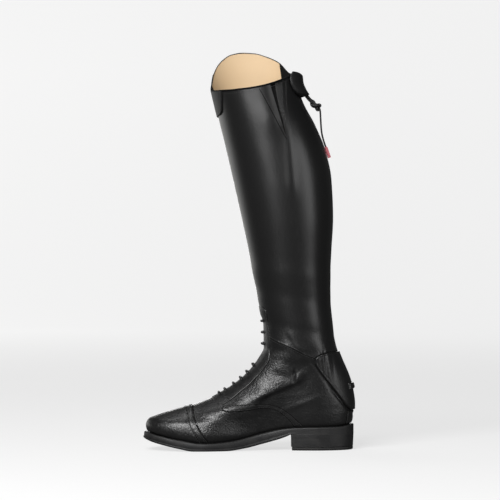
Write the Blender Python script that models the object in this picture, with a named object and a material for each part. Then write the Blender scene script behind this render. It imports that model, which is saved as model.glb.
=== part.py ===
# Tall laced riding boot for the right foot: moulded sole, hollow leather upper, back zip.
# Toe to -X, up +Z, inner (medial) side to -Y. Sizes below are millimetres, objects are metres.

import math

import bmesh
import bpy
import numpy as np
from mathutils import Matrix, Vector

MM = 0.001

# Driving sizes
SOLE_TOE_X = -137.75
SOLE_HEEL_X = 135.6
GAP = 0.3
WALL = 2.2
SKIN_GAP = 0.35
TOE_CAP_THICK = 1.0
SEAM_THICK = 0.8
EYESTAY_THICK = 1.2
GUARD_THICK = 2.3
SPUR_THICK = 2.4
STRIP_THICK = 1.0
FRONT_TAB_THICK = 2.0
TONGUE_THICK = 2.0
INSOLE_THICK = 3.0
ZIP_HALF = 4.0
ZIP_TAPE_THICK = 1.2
ZIP_CLEAR = 0.7
ZIP_BOTTOM_LEVEL = 116.0
THROAT_BOTTOM_LEVEL = 92.0
THROAT_TOP_LEVEL = 172.0
LACE_RADIUS = 1.15
LACE_HALF_SPAN = 11.5
LACE_SHARES = (-1.0, -0.8, -0.62, 0.62, 0.8, 1.0)
LACE_SIDES = 6
LACE_CLEAR = 0.55
CORD_RADIUS = 1.15
COLLAR_BASE_LEVEL = 432.0
COLLAR_STEPS = 5
SIDE_STEPS = 15
SOLE_SIDE_STEPS = 38

# Places along a section, as shares of its length from the back
STATIONS = (0.0, 0.15, 0.42, 0.72, 0.90, 1.0)

# Sole seen from the side: height of its top and bottom along the length
SOLE_TOP = ((-137.75, 24.4), (-120.0, 20.0), (-90.0, 14.0), (-58.0, 9.8), (-48.0, 10.0), (-26.0, 11.8),
            (-4.5, 16.0), (18.0, 22.0), (47.0, 28.0), (70.0, 29.4), (115.0, 30.2), (135.6, 33.6))
SOLE_BOTTOM = ((-137.75, 15.6), (-125.0, 11.0), (-106.0, 6.4), (-90.0, 3.0), (-72.0, 0.0), (-30.0, 0.0),
               (-4.5, 3.2), (13.6, 7.6), (39.0, 14.8), (48.0, 18.2), (53.2, 20.5), (135.6, 20.5))

# Sole seen from above: half widths at the stations and radii of the two ends
SOLE_PLAN = {"heel_r": 30.0, "heel": 31.5, "waist": 30.5, "ball": 47.0, "toe": 35.5, "toe_r": 27.0}
# Sideways bend of the middle line along the length, inner side negative
BEND = ((-137.75, -7.5), (-110.0, -3.4), (-60.0, 0.8), (20.0, 3.2), (95.0, 0.0), (135.6, 0.0))
BEND_FADE = (40.0, 150.0)

# Side of the sole, from the top lip down: share of the height and set-back from the outline
SOLE_STEPS = ((0.0, 0.0), (0.26, 0.0), (0.30, 1.1), (0.86, 1.3), (1.0, 2.6))

# Foot sections, each a slice from the heel's back up to the front line
FOOT_COLUMNS = ("level", "back_x", "front_x", "front_z", "heel_r", "heel", "waist", "ball", "toe", "toe_r", "bow")
FOOT_RINGS = (
    (33.8, 132.2, -131.8, 24.2, 27.0, 28.6, 28.0, 44.0, 32.6, 25.0, 1.0),
    (43.0, 133.8, -133.2, 32.5, 28.0, 29.6, 29.6, 44.8, 33.6, 25.0, 0.8),
    (52.0, 134.8, -130.2, 39.6, 28.5, 30.0, 31.0, 44.2, 31.6, 18.0, 0.5),
    (60.0, 134.8, -119.5, 44.6, 28.5, 30.0, 32.0, 42.0, 25.5, 12.0, 0.25),
    (68.0, 134.0, -101.0, 50.2, 28.0, 29.8, 32.6, 38.5, 22.5, 10.0, 0.1),
    (77.0, 132.5, -78.0, 56.2, 27.5, 29.3, 32.6, 34.8, 21.0, 10.0, 0.0),
    (87.0, 130.2, -54.5, 64.4, 27.0, 28.8, 32.2, 32.8, 20.8, 10.0, 0.0),
    (96.5, 127.0, -35.6, 74.8, 26.5, 28.4, 32.2, 31.6, 20.4, 11.0, 0.0),
    (106.0, 123.0, -17.0, 87.4, 26.5, 28.2, 32.6, 31.4, 20.6, 12.0, 0.0),
    (116.0, 118.6, -2.6, 100.6, 27.0, 28.2, 33.4, 31.8, 21.0, 13.0, 0.0),
    (126.5, 114.6, 10.2, 117.0, 27.0, 28.0, 34.6, 32.6, 22.0, 15.0, 0.0),
    (136.0, 111.8, 17.6, 131.4, 27.0, 27.6, 35.6, 32.8, 22.4, 20.0, 0.0),
)

# Shaft sections, level slices of the leg
SHAFT_COLUMNS = ("level", "back_x", "front_x", "half_width")
SHAFT_RINGS = (
    (150.0, 109.4, 17.6, 36.6), (163.0, 107.9, 17.2, 37.2), (180.0, 106.2, 13.6, 38.2),
    (219.0, 104.6, 6.0, 41.6), (258.0, 106.2, -1.2, 45.6), (300.0, 108.4, -10.2, 49.6),
    (350.0, 106.2, -21.4, 52.6), (388.0, 98.2, -30.2, 53.4), (420.0, 85.2, -38.0, 53.2),
    (455.0, 67.6, -46.4, 52.2), (487.0, 60.2, -54.0, 51.6), (520.0, 58.0, -61.6, 51.0),
)
SHAFT_FULLNESS = (1.0, 1.03, 1.0, 1.02, 1.03, 0.97)

# Collar height around the leg: angle from the back, inner side, outer side
COLLAR = ((0.0, 487.0, 487.0), (28.0, 484.0, 490.0), (50.0, 477.0, 506.0), (68.0, 471.5, 514.0),
          (82.0, 468.0, 518.2), (97.0, 465.5, 519.0), (112.0, 464.0, 516.5), (128.0, 463.0, 508.0),
          (147.0, 463.0, 492.5), (165.0, 464.0, 475.0), (180.0, 465.5, 465.5))

# Half width of the laced opening by level
THROAT = ((34.0, 5.0), (92.0, 4.5), (100.0, 7.0), (130.0, 7.5), (160.0, 7.0), (172.0, 5.0), (520.0, 6.0))

# Levels that carry a ring of the mesh
LEVELS = (33.8, 38.0, 43.0, 47.5, 52.0, 60.0, 68.0, 77.0, 84.5, 92.0, 99.0, 106.0, 116.0, 126.5, 136.0,
          150.0, 161.0, 172.0, 188.0, 210.0, 234.0, 258.0, 280.0, 304.0, 328.0, 350.0, 377.0, 404.0, 432.0)

# Outlines seen from the side, as (x, z) corners
TOE_CAP_OUTLINE = ((-150.0, 29.0), (-150.0, 80.0), (-76.5, 80.0), (-74.5, 57.5), (-70.2, 38.6), (-61.8, 22.5),
                   (-53.8, 11.6), (-58.0, 11.0), (-90.0, 15.1), (-120.0, 21.3), (-137.0, 25.7))
VAMP_SEAM_OUTLINE = ((-34.5, 57.0), (-23.3, 58.2), (-2.5, 58.8), (18.2, 59.4), (34.8, 56.3), (49.3, 48.1),
                     (63.8, 35.6), (69.0, 30.5), (58.2, 30.5), (49.3, 41.9), (34.8, 52.3),
                     (18.2, 55.3), (-4.6, 52.1), (-26.0, 50.7), (-35.5, 52.4))
EYESTAY_OUTLINE = ((24.5, 113.0), (13.7, 100.2), (1.3, 86.7), (-11.0, 76.3), (-23.5, 65.9), (-35.0, 58.6),
                   (-43.0, 60.0), (-52.0, 74.0), (-30.0, 100.0), (5.0, 126.0), (15.0, 126.0), (21.5, 121.0))
FACING_OUTLINE = ((0.0, 185.5), (15.0, 185.5), (19.5, 183.0), (22.2, 176.8), (23.4, 167.3), (25.5, 150.0),
                  (25.8, 128.6), (0.0, 128.6))
GUARD_OUTLINE = ((83.9, 118.4), (91.3, 123.4), (100.2, 125.8), (113.2, 126.6), (150.0, 127.4), (150.0, 51.6),
                 (132.0, 51.6), (130.1, 52.9), (124.2, 57.7), (109.2, 77.6), (90.4, 101.5), (84.2, 112.0))
SPUR_OUTLINE = ((118.0, 78.0), (118.0, 86.0), (150.0, 86.0), (150.0, 78.0))
SPUR_HALF = 15.0
STRIP_OUTLINE = ((127.0, 50.6), (150.0, 50.6), (150.0, 38.4), (124.6, 32.7), (125.2, 36.0))
FRONT_TAB_OUTLINE = ((-80.0, 433.0), (-42.0, 430.0), (-36.0, 431.5), (-34.6, 436.0), (-36.4, 530.0), (-80.0, 530.0))
FRONT_TAB_REACH = (-60.0, 26.0)
GUSSET_OUTLINE = ((23.4, 530.0), (24.0, 477.0), (28.7, 462.4), (36.8, 435.8), (42.0, 418.6), (46.7, 403.2),
                  (46.2, 424.6), (42.8, 446.4), (41.6, 482.0), (41.6, 530.0))
GUSSET_CLEAR = 0.4

# Lace bars by level of the section they lie on
LACE_LEVELS = (95.5, 99.2, 105.0, 110.8, 116.8, 122.6, 137.0, 151.5, 166.5)

# Strap over the top of the zip
TAB_ANGLES = (-34.0, 26.0)
TAB_STEPS = 12
TAB_ROWS = (
    (459.0, 9.6),
    (470.0, 8.6),
    (480.0, 7.4),
    (486.0, 6.6),
)
TAB_THICK = 2.2

# Pull cord of the zip, in the middle plane
SLIDER_LEVEL = 467.0
CORD_UPPER_ROUTE = ((71.4, 0.0, 460.6), (74.2, -0.3, 456.4), (78.0, -0.6, 452.0), (81.2, -0.8, 449.4))
KNOT_CENTRE = (85.4, -1.0, 446.0)
KNOT_SIZE = (5.0, 4.2, 4.0)
CORD_TAIL_ROUTE = ((90.4, -1.2, 443.2), (91.8, -1.3, 438.6), (92.3, -1.4, 431.0), (92.9, -1.4, 420.0),
                   (94.0, -1.3, 409.5), (96.4, -1.2, 400.0), (98.8, -1.1, 393.0))
CORD_TAB_SIZE = (5.2, 1.4, 15.5)


def smooth(points, value):
    """Smooth curve through rising (place, height) points with no overshoot."""
    place = np.array([p[0] for p in points], float)
    height = np.array([p[1] for p in points], float)
    step = np.diff(place)
    slope = np.diff(height) / step
    tangent = np.empty(len(place))
    tangent[0] = slope[0]
    tangent[-1] = slope[-1]
    for k in range(1, len(place) - 1):
        same_way = slope[k - 1] * slope[k] > 0.0
        tangent[k] = 2.0 * slope[k - 1] * slope[k] / (slope[k - 1] + slope[k]) if same_way else 0.0
    x = float(min(max(value, place[0]), place[-1]))
    k = int(min(max(np.searchsorted(place, x) - 1, 0), len(step) - 1))
    s = (x - place[k]) / step[k]
    a = (1.0 + 2.0 * s) * (1.0 - s) ** 2 * height[k] + s * (1.0 - s) ** 2 * step[k] * tangent[k]
    b = s * s * (3.0 - 2.0 * s) * height[k + 1] + s * s * (s - 1.0) * step[k] * tangent[k + 1]
    return float(a + b)


def station_angle(share):
    """Angle around a section, 0 at its back and pi at its front, for a share of its length."""
    return math.acos(1.0 - 2.0 * share)


STATION_ANGLES = tuple(station_angle(s) for s in STATIONS)


def spans(plan, length):
    """Widths of a section as multiples of the angle's sine, from half widths and end radii."""
    ends = (math.sqrt(plan["heel_r"] * length / 2.0), math.sqrt(plan["toe_r"] * length / 2.0))
    middle = [plan[key] / math.sin(a) for key, a in zip(("heel", "waist", "ball", "toe"), STATION_ANGLES[1:5])]
    return (ends[0], *middle, ends[1])


def section_rows():
    """All sections as one list of columns by level."""
    rows = []
    for values in FOOT_RINGS:
        row = dict(zip(FOOT_COLUMNS, values))
        row["span"] = spans(row, row["back_x"] - row["front_x"])
        rows.append(row)
    for values in SHAFT_RINGS:
        row = dict(zip(SHAFT_COLUMNS, values))
        row["front_z"] = row["level"]
        row["bow"] = 0.0
        row["span"] = tuple(row["half_width"] * f for f in SHAFT_FULLNESS)
        rows.append(row)
    return rows


SECTIONS = section_rows()


def section_at(level):
    """One section between the listed ones."""
    row = {key: smooth([(r["level"], r[key]) for r in SECTIONS], level)
           for key in ("back_x", "front_x", "front_z", "bow")}
    row["back_z"] = level
    row["span"] = [smooth([(r["level"], r["span"][k]) for r in SECTIONS], level) for k in range(6)]
    return row


def bend(x, z):
    """Sideways place of the middle line."""
    low, high = BEND_FADE
    fade = min(max((high - z) / (high - low), 0.0), 1.0)
    return smooth(BEND, x) * fade * fade * (3.0 - 2.0 * fade)


def span_at(row, angle):
    """Width factor of a section at an angle from its back."""
    return smooth(list(zip(STATION_ANGLES, row["span"])), angle)


def sole_bow(x):
    """Height of the sole's top against the straight line from heel to toe."""
    base = SECTIONS[0]
    share = (base["back_x"] - x) / (base["back_x"] - base["front_x"])
    return smooth(SOLE_TOP, x) + GAP - (base["level"] + share * (base["front_z"] - base["level"]))


def section_point(row, angle, side):
    """Point of a section: angle 0 at the back, pi at the front; side -1 inner, +1 outer."""
    share = (1.0 - math.cos(angle)) / 2.0
    x = row["back_x"] + share * (row["front_x"] - row["back_x"])
    z = row["back_z"] + share * (row["front_z"] - row["back_z"])
    if row["bow"] > 0.0:
        z += row["bow"] * sole_bow(x)
    y = side * span_at(row, angle) * math.sin(angle) + bend(x, z)
    return np.array((x, y, z))


def edge_angle(row, half, at_front):
    """Angle where a section is a given half width away from its end."""
    low, high = 0.0, math.pi / 3.0
    for _ in range(30):
        middle = (low + high) / 2.0
        angle = math.pi - middle if at_front else middle
        if span_at(row, angle) * math.sin(angle) < half:
            low = middle
        else:
            high = middle
    return math.pi - low if at_front else low


def collar_height(angle, side):
    """Height of the top edge at an angle from the back."""
    column = 1 if side < 0 else 2
    return smooth([(row[0], row[column]) for row in COLLAR], math.degrees(angle))


def ring_angles(level):
    """Angles and sides of one ring's points, from the back along the outer side and home along the inner."""
    row = section_at(level)
    first = edge_angle(row, ZIP_HALF, False)
    last = edge_angle(row, smooth(THROAT, level), True)
    side_run = [first + (last - first) * k / SIDE_STEPS for k in range(SIDE_STEPS + 1)]
    outer = [(a, 1.0) for a in side_run]
    inner = [(a, -1.0) for a in reversed(side_run)]
    return [(0.0, 1.0), *outer, (math.pi, 1.0), *inner]


def upper_grid():
    """Points of the boot's outside, ring by ring, from the sole to the collar."""
    rings = []
    for level in LEVELS:
        row = section_at(level)
        rings.append([section_point(row, a, s) for a, s in ring_angles(level)])
    for k in range(1, COLLAR_STEPS + 1):
        ring = []
        for angle, side in ring_angles(COLLAR_BASE_LEVEL + 40.0 * k / COLLAR_STEPS):
            level = COLLAR_BASE_LEVEL + (collar_height(angle, side) - COLLAR_BASE_LEVEL) * k / COLLAR_STEPS
            ring.append(section_point(section_at(level), angle, side))
        rings.append(ring)
    return np.array(rings)


def grid_normals(grid):
    """Outward direction at each point of the grid."""
    around = np.roll(grid, -1, axis=1) - np.roll(grid, 1, axis=1)
    upward = np.empty_like(grid)
    upward[1:-1] = grid[2:] - grid[:-2]
    upward[0] = grid[1] - grid[0]
    upward[-1] = grid[-1] - grid[-2]
    normals = np.cross(upward, around)
    normals[0, :, 2] = 0.0
    length = np.linalg.norm(normals, axis=2, keepdims=True)
    normals /= length
    middle = grid.mean(axis=1, keepdims=True)
    if np.sum(normals * (grid - middle)) < 0.0:
        normals = -normals
    return normals


GRID = upper_grid()
NORMALS = grid_normals(GRID)
RING_COUNT, COLUMN_COUNT = GRID.shape[:2]
FRONT_COLUMN = SIDE_STEPS + 2
RING_LEVELS = list(LEVELS) + [COLLAR_BASE_LEVEL + 20.0 * k for k in range(1, COLLAR_STEPS + 1)]


def ring_index(level):
    """Ring nearest to a level."""
    return int(np.argmin([abs(level - value) for value in RING_LEVELS]))


def open_cell(i, j):
    """Cells left open: the laced throat and the zip's slot."""
    zip_cell = j in (0, COLUMN_COUNT - 1) and i >= ring_index(ZIP_BOTTOM_LEVEL)
    in_throat = ring_index(THROAT_BOTTOM_LEVEL) <= i < ring_index(THROAT_TOP_LEVEL)
    throat_cell = j in (FRONT_COLUMN - 1, FRONT_COLUMN) and in_throat
    return zip_cell or throat_cell


def wall_cells():
    """Cells of the upper that carry leather."""
    return [(i, j) for i in range(RING_COUNT - 1) for j in range(COLUMN_COUNT) if not open_cell(i, j)]


def make_material(name, color, roughness, metallic=0.0):
    """Plain surface colour of one piece."""
    material = bpy.data.materials.new(name)
    material.use_nodes = True
    shader = material.node_tree.nodes["Principled BSDF"]
    shader.inputs["Base Color"].default_value = (*color, 1.0)
    shader.inputs["Roughness"].default_value = roughness
    shader.inputs["Metallic"].default_value = metallic
    return material


def finish_mesh(name, mesh_data, material):
    """Object from a finished mesh, smooth but with sharp rims."""
    bmesh.ops.remove_doubles(mesh_data, verts=mesh_data.verts, dist=0.00001)
    bmesh.ops.recalc_face_normals(mesh_data, faces=mesh_data.faces)
    mesh = bpy.data.meshes.new(name)
    mesh_data.to_mesh(mesh)
    mesh_data.free()
    mesh.shade_smooth()
    mesh.set_sharp_from_angle(angle=math.radians(38.0))
    mesh.materials.append(material)
    item = bpy.data.objects.new(name, mesh)
    bpy.context.collection.objects.link(item)
    return item


def closed_band(name, cells, low, high, material):
    """Solid between two offsets of the boot's outside over a set of grid cells."""
    data = bmesh.new()
    verts = {}

    def corner(i, j, top):
        key = (i, j % COLUMN_COUNT, top)
        if key not in verts:
            offset = high if top else low
            place = GRID[i, key[1]] + NORMALS[i, key[1]] * offset
            verts[key] = data.verts.new(place * MM)
        return verts[key]

    edges = {}
    for i, j in cells:
        loop = [(i, j), (i, j + 1), (i + 1, j + 1), (i + 1, j)]
        for triangle in ((loop[0], loop[1], loop[2]), (loop[0], loop[2], loop[3])):
            data.faces.new([corner(*c, True) for c in triangle])
            data.faces.new([corner(*c, False) for c in reversed(triangle)])
        for a, b in zip(loop, loop[1:] + loop[:1]):
            pair = ((a[0], a[1] % COLUMN_COUNT), (b[0], b[1] % COLUMN_COUNT))
            edges[pair] = edges.get(pair, 0) + 1
    for a, b in edges:
        if (b, a) not in edges:
            data.faces.new([corner(*b, True), corner(*a, True), corner(*a, False), corner(*b, False)])
    return finish_mesh(name, data, material)


def prism(name, outline, y_low, y_high):
    """Cutting form: a side outline carried across the boot."""
    data = bmesh.new()
    base = data.faces.new([data.verts.new((x * MM, y_low * MM, z * MM)) for x, z in outline])
    grown = bmesh.ops.extrude_face_region(data, geom=[base])
    moved = [v for v in grown["geom"] if isinstance(v, bmesh.types.BMVert)]
    bmesh.ops.translate(data, verts=moved, vec=(0.0, (y_high - y_low) * MM, 0.0))
    bmesh.ops.recalc_face_normals(data, faces=data.faces)
    mesh = bpy.data.meshes.new(name)
    data.to_mesh(mesh)
    data.free()
    item = bpy.data.objects.new(name, mesh)
    bpy.context.collection.objects.link(item)
    item.hide_render = True
    item.display_type = "WIRE"
    return item


def cut(item, cutter, operation):
    """Boolean of a piece with a cutting form."""
    step = item.modifiers.new(cutter.name, "BOOLEAN")
    step.operation = operation
    step.solver = "EXACT"
    step.object = cutter
    return item


def nearby_cells(outline, y_low, y_high, over_zip, margin=18.0):
    """Leather cells whose corners come near an outline's box."""
    xs = [p[0] for p in outline]
    zs = [p[1] for p in outline]
    chosen = []
    back = [(i, j) for i in range(RING_COUNT - 1) for j in (0, COLUMN_COUNT - 1) if open_cell(i, j)]
    for i, j in wall_cells() + (back if over_zip else []):
        corners = [GRID[i, j], GRID[i + 1, j], GRID[i, (j + 1) % COLUMN_COUNT], GRID[i + 1, (j + 1) % COLUMN_COUNT]]
        box_low = np.min(corners, axis=0)
        box_high = np.max(corners, axis=0)
        in_x = box_high[0] > min(xs) - margin and box_low[0] < max(xs) + margin
        in_z = box_high[2] > min(zs) - margin and box_low[2] < max(zs) + margin
        in_y = box_high[1] > y_low - margin and box_low[1] < y_high + margin
        if in_x and in_y and in_z:
            chosen.append((i, j))
    return chosen


def overlay(name, outline, low, thick, material, y_low=-90.0, y_high=90.0, over_zip=False):
    """Leather piece that lies on the upper inside a side outline."""
    item = closed_band(name, nearby_cells(outline, y_low, y_high, over_zip), low, low + thick, material)
    return cut(item, prism(name + "_cutter", outline, y_low, y_high), "INTERSECT")


def sole_outline(set_back):
    """Sole's outline from above with a set-back, as points from the heel around the outer side."""
    length = SOLE_HEEL_X - SOLE_TOE_X
    row = {"span": spans(SOLE_PLAN, length)}
    angles = [math.pi * k / SOLE_SIDE_STEPS for k in range(SOLE_SIDE_STEPS + 1)]
    loop = []
    for angle, side in [(a, 1.0) for a in angles] + [(a, -1.0) for a in reversed(angles[1:-1])]:
        x = SOLE_HEEL_X - length * (1.0 - math.cos(angle)) / 2.0
        loop.append(np.array((x, side * span_at(row, angle) * math.sin(angle) + smooth(BEND, x))))
    loop = np.array(loop)
    along = np.roll(loop, -1, axis=0) - np.roll(loop, 1, axis=0)
    inward = np.stack((-along[:, 1], along[:, 0]), axis=1)
    inward /= np.linalg.norm(inward, axis=1, keepdims=True)
    if np.sum(inward * (loop.mean(axis=0) - loop)) < 0.0:
        inward = -inward
    return loop + inward * set_back


def stacked(name, loops, material, strips):
    """Solid of stacked loops of equal count; strips pairs the two sides for the end faces."""
    data = bmesh.new()
    rings = [[data.verts.new(np.array(p) * MM) for p in loop] for loop in loops]
    count = len(rings[0])
    for lower, upper in zip(rings, rings[1:]):
        for k in range(count):
            n = (k + 1) % count
            data.faces.new((lower[k], lower[n], upper[n], upper[k]))
    for ring in (rings[0], rings[-1]):
        if not strips:
            data.faces.new(ring)
            continue
        half = count // 2
        for k in range(half):
            corners = [ring[k], ring[k + 1], ring[(count - k - 1) % count], ring[(count - k) % count]]
            data.faces.new(list(dict.fromkeys(corners)))
    return finish_mesh(name, data, material)


def build_outsole(material):
    """Long sole with toe spring, arch, a top lip and a stepped side."""
    loops = []
    for share, set_back in SOLE_STEPS:
        loop = []
        for x, y in sole_outline(set_back):
            top = smooth(SOLE_TOP, x)
            loop.append((x, y, top + share * (smooth(SOLE_BOTTOM, x) - top)))
        loops.append(loop)
    return stacked("outsole", loops, material, True)


HEEL_BREAST_X = 53.7
HEEL_TOP = 20.2
HEEL_LIFT_TOP = 4.0
HEEL_SET_BACK = 0.8
HEEL_TAPER = 0.6
HEEL_RIBS = 3
HEEL_RIB_DEPTH = 0.5


def heel_outline(set_back):
    """Heel's outline from above, with a gently hollow front."""
    loop = [p for p in sole_outline(set_back) if p[0] > HEEL_BREAST_X + 1.0]
    outer = sorted([p for p in loop if p[1] >= 0.0], key=lambda p: p[0])
    inner = sorted([p for p in loop if p[1] < 0.0], key=lambda p: -p[0])
    half_out = outer[0][1]
    half_in = inner[-1][1]
    front = [np.array((HEEL_BREAST_X + 3.0 * (1.0 - s * s), half_in + (half_out - half_in) * (s + 1.0) / 2.0))
             for s in (-1.0, -0.5, 0.0, 0.5, 1.0)]
    return outer + inner + front


def build_heel(block_material, lift_material):
    """Heel block with fine level ribs, and the lift it stands on."""
    loops = []
    low = HEEL_LIFT_TOP + GAP
    for k in range(HEEL_RIBS):
        z0 = low + (HEEL_TOP - low) * k / HEEL_RIBS
        z1 = low + (HEEL_TOP - low) * (k + 1) / HEEL_RIBS
        lean = HEEL_SET_BACK + HEEL_TAPER * (1.0 - (k + 0.5) / HEEL_RIBS)
        for z, extra in ((z0, HEEL_RIB_DEPTH), (z0 + 0.8, 0.0), (z1 - 0.8, 0.0)):
            loops.append([(x, y, z) for x, y in heel_outline(lean + extra)])
    loops.append([(x, y, HEEL_TOP) for x, y in heel_outline(HEEL_SET_BACK + HEEL_RIB_DEPTH)])
    stacked("heel_block", loops, block_material, False)
    lift = [[(x, y, z) for x, y in heel_outline(HEEL_SET_BACK + HEEL_TAPER + s)]
            for z, s in ((0.0, 1.0), (1.2, 0.0), (HEEL_LIFT_TOP, 0.0))]
    stacked("heel_lift", lift, lift_material, False)


def build_insole(material):
    """Thin board inside the upper, on the sole."""
    inside = GRID[0] + NORMALS[0] * -(WALL + 0.5)
    order = list(range(COLUMN_COUNT))
    loops = []
    for lift in (0.0, INSOLE_THICK):
        loops.append([(inside[k][0], inside[k][1], smooth(SOLE_TOP, inside[k][0]) + GAP + lift) for k in order])
    return stacked("insole", loops, material, True)


def build_tongue(material):
    """Soft tongue behind the laced opening."""
    first = ring_index(THROAT_BOTTOM_LEVEL) - 1
    last = ring_index(THROAT_TOP_LEVEL) + 1
    columns = range(FRONT_COLUMN - 4, FRONT_COLUMN + 4)
    cells = [(i, j) for i in range(first, last) for j in columns]
    top = -(WALL + 0.4)
    return closed_band("tongue", cells, top - TONGUE_THICK, top, material)


def build_zip(material):
    """Zip: a tape behind the slot with the closed chain standing in it."""
    first = ring_index(ZIP_BOTTOM_LEVEL)
    tape_top = -(WALL + ZIP_CLEAR)
    tape_low = tape_top - ZIP_TAPE_THICK
    chain_share = (ZIP_HALF - 0.9) / ZIP_HALF
    data = bmesh.new()
    rows = []
    for i in range(first, RING_COUNT):
        lift = 0.6 if i == first else 0.0
        middle = GRID[i, 0] + np.array((0.0, 0.0, lift))
        out = NORMALS[i, 0]
        left = GRID[i, 2] + np.array((0.0, 0.0, lift))
        right = GRID[i, -2] + np.array((0.0, 0.0, lift))
        edge_left = middle + (GRID[i, 1] + np.array((0.0, 0.0, lift)) - middle) * chain_share
        edge_right = middle + (GRID[i, -1] + np.array((0.0, 0.0, lift)) - middle) * chain_share
        section = [left + NORMALS[i, 2] * tape_low, middle + out * tape_low, right + NORMALS[i, -2] * tape_low,
                   right + NORMALS[i, -2] * tape_top, edge_right + out * tape_top, edge_right + out * -0.3,
                   edge_left + out * -0.3, edge_left + out * tape_top, left + NORMALS[i, 2] * tape_top]
        rows.append([data.verts.new(p * MM) for p in section])
    count = len(rows[0])
    for lower, upper in zip(rows, rows[1:]):
        for k in range(count):
            n = (k + 1) % count
            data.faces.new((lower[k], lower[n], upper[n]))
            data.faces.new((lower[k], upper[n], upper[k]))
    for row in (rows[0], rows[-1]):
        for corners in ((0, 1, 7, 8), (1, 2, 3, 4), (1, 4, 7), (4, 5, 6, 7)):
            data.faces.new([row[k] for k in corners])
    return finish_mesh("zip", data, material)


def back_frame(level):
    """Back line's place and outward direction at a level."""
    here = section_point(section_at(level), 0.0, 1.0)
    above = section_point(section_at(level + 2.0), 0.0, 1.0)
    up = (above - here) / np.linalg.norm(above - here)
    return here, np.array((up[2], 0.0, -up[0])), up


def build_slider(material):
    """Zip slider near the top, under the strap."""
    here, out, up = back_frame(SLIDER_LEVEL)
    data = bmesh.new()
    bmesh.ops.create_cube(data, size=1.0)
    bmesh.ops.scale(data, vec=Vector((2.6, 7.0, 11.0)) * MM, verts=data.verts)
    bmesh.ops.bevel(data, geom=data.edges[:], offset=0.7 * MM, segments=1, affect="EDGES")
    turn = Matrix((Vector(out), Vector((0.0, 1.0, 0.0)), Vector(up))).transposed()
    centre = here + out * (0.15 + 1.3)
    bmesh.ops.transform(data, matrix=Matrix.Translation(Vector(centre * MM)) @ turn.to_4x4(), verts=data.verts)
    return finish_mesh("zip_slider", data, material)


def build_top_tab(material):
    """Strap that closes over the top of the zip, standing off the back."""
    low_angle, high_angle = TAB_ANGLES
    outer_rows = []
    inner_rows = []
    for level, stand in TAB_ROWS:
        row = section_at(level)
        outer = []
        inner = []
        for k in range(TAB_STEPS + 1):
            share = k / TAB_STEPS
            degrees = low_angle + (high_angle - low_angle) * share
            if degrees < 0.0:
                reach = 1.0 + 0.5 * (level - 470.0) / 30.0 * 0.3
                degrees *= reach
            angle = math.radians(abs(degrees))
            side = -1.0 if degrees < 0.0 else 1.0
            point = section_point(row, angle, side)
            step = math.radians(abs(degrees) + 2.0)
            tangent = section_point(row, step, side) - point
            out = np.array((tangent[1], -tangent[0], 0.0)) * side
            out /= np.linalg.norm(out)
            if out[0] < 0.0:
                out = -out
            rise = math.sin(math.pi * share) ** 0.7
            inner.append(point + out * (0.6 + (stand - 0.6) * rise))
            outer.append(point + out * (0.6 + TAB_THICK + (stand - 0.6) * rise))
        outer_rows.append(outer)
        inner_rows.append(inner)
    data = bmesh.new()
    top = [[data.verts.new(p * MM) for p in row] for row in outer_rows]
    low = [[data.verts.new(p * MM) for p in row] for row in inner_rows]
    rows = len(TAB_ROWS)
    for i in range(rows - 1):
        for k in range(TAB_STEPS):
            data.faces.new((top[i][k], top[i][k + 1], top[i + 1][k + 1], top[i + 1][k]))
            data.faces.new((low[i + 1][k], low[i + 1][k + 1], low[i][k + 1], low[i][k]))
    for k in range(TAB_STEPS):
        data.faces.new((top[0][k], low[0][k], low[0][k + 1], top[0][k + 1]))
        data.faces.new((top[-1][k], top[-1][k + 1], low[-1][k + 1], low[-1][k]))
    for i in range(rows - 1):
        data.faces.new((top[i][0], top[i + 1][0], low[i + 1][0], low[i][0]))
        data.faces.new((top[i][-1], low[i][-1], low[i + 1][-1], top[i + 1][-1]))
    return finish_mesh("top_tab", data, material)


def surface_frame(level, y):
    """Point and outward direction near the front line at a level and a sideways place."""
    row = section_at(level)
    side = 1.0 if y >= 0.0 else -1.0
    angle = edge_angle(row, abs(y), True) if abs(y) > 0.01 else math.pi
    point = section_point(row, angle, side)
    around = section_point(row, min(angle + 0.02, math.pi), side) - section_point(row, angle - 0.02, side)
    if abs(y) <= 0.01:
        around = section_point(row, math.pi - 0.02, 1.0) - section_point(row, math.pi - 0.02, -1.0)
    lower = section_at(level - 1.0)
    higher = section_at(level + 1.0)
    upward = section_point(higher, angle, side) - section_point(lower, angle, side)
    out = np.cross(upward, around)
    out /= np.linalg.norm(out)
    if out[0] > 0.2 or out[2] < -0.3:
        out = -out
    return point, out


def build_lace_bar(number, level, material):
    """One bar of lace across the throat, resting on the two facings."""
    lift = SKIN_GAP + EYESTAY_THICK + LACE_CLEAR + LACE_RADIUS
    centres = []
    for share in LACE_SHARES:
        point, out = surface_frame(level, share * LACE_HALF_SPAN)
        centres.append(point + out * lift)
    data = bmesh.new()
    rings = []
    for k, centre in enumerate(centres):
        ahead = centres[min(k + 1, len(centres) - 1)] - centres[max(k - 1, 0)]
        ahead /= np.linalg.norm(ahead)
        _, out = surface_frame(level, 0.0)
        wide = np.cross(ahead, out)
        wide /= np.linalg.norm(wide)
        high = np.cross(wide, ahead)
        ring = []
        for s in range(LACE_SIDES):
            turn = 2.0 * math.pi * s / LACE_SIDES
            place = centre + LACE_RADIUS * (wide * math.cos(turn) + high * math.sin(turn))
            ring.append(data.verts.new(place * MM))
        rings.append(ring)
    for lower, upper in zip(rings, rings[1:]):
        for s in range(LACE_SIDES):
            n = (s + 1) % LACE_SIDES
            data.faces.new((lower[s], lower[n], upper[n], upper[s]))
    data.faces.new(rings[0])
    data.faces.new(rings[-1])
    return finish_mesh("lace_bar_%d" % number, data, material)


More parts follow.
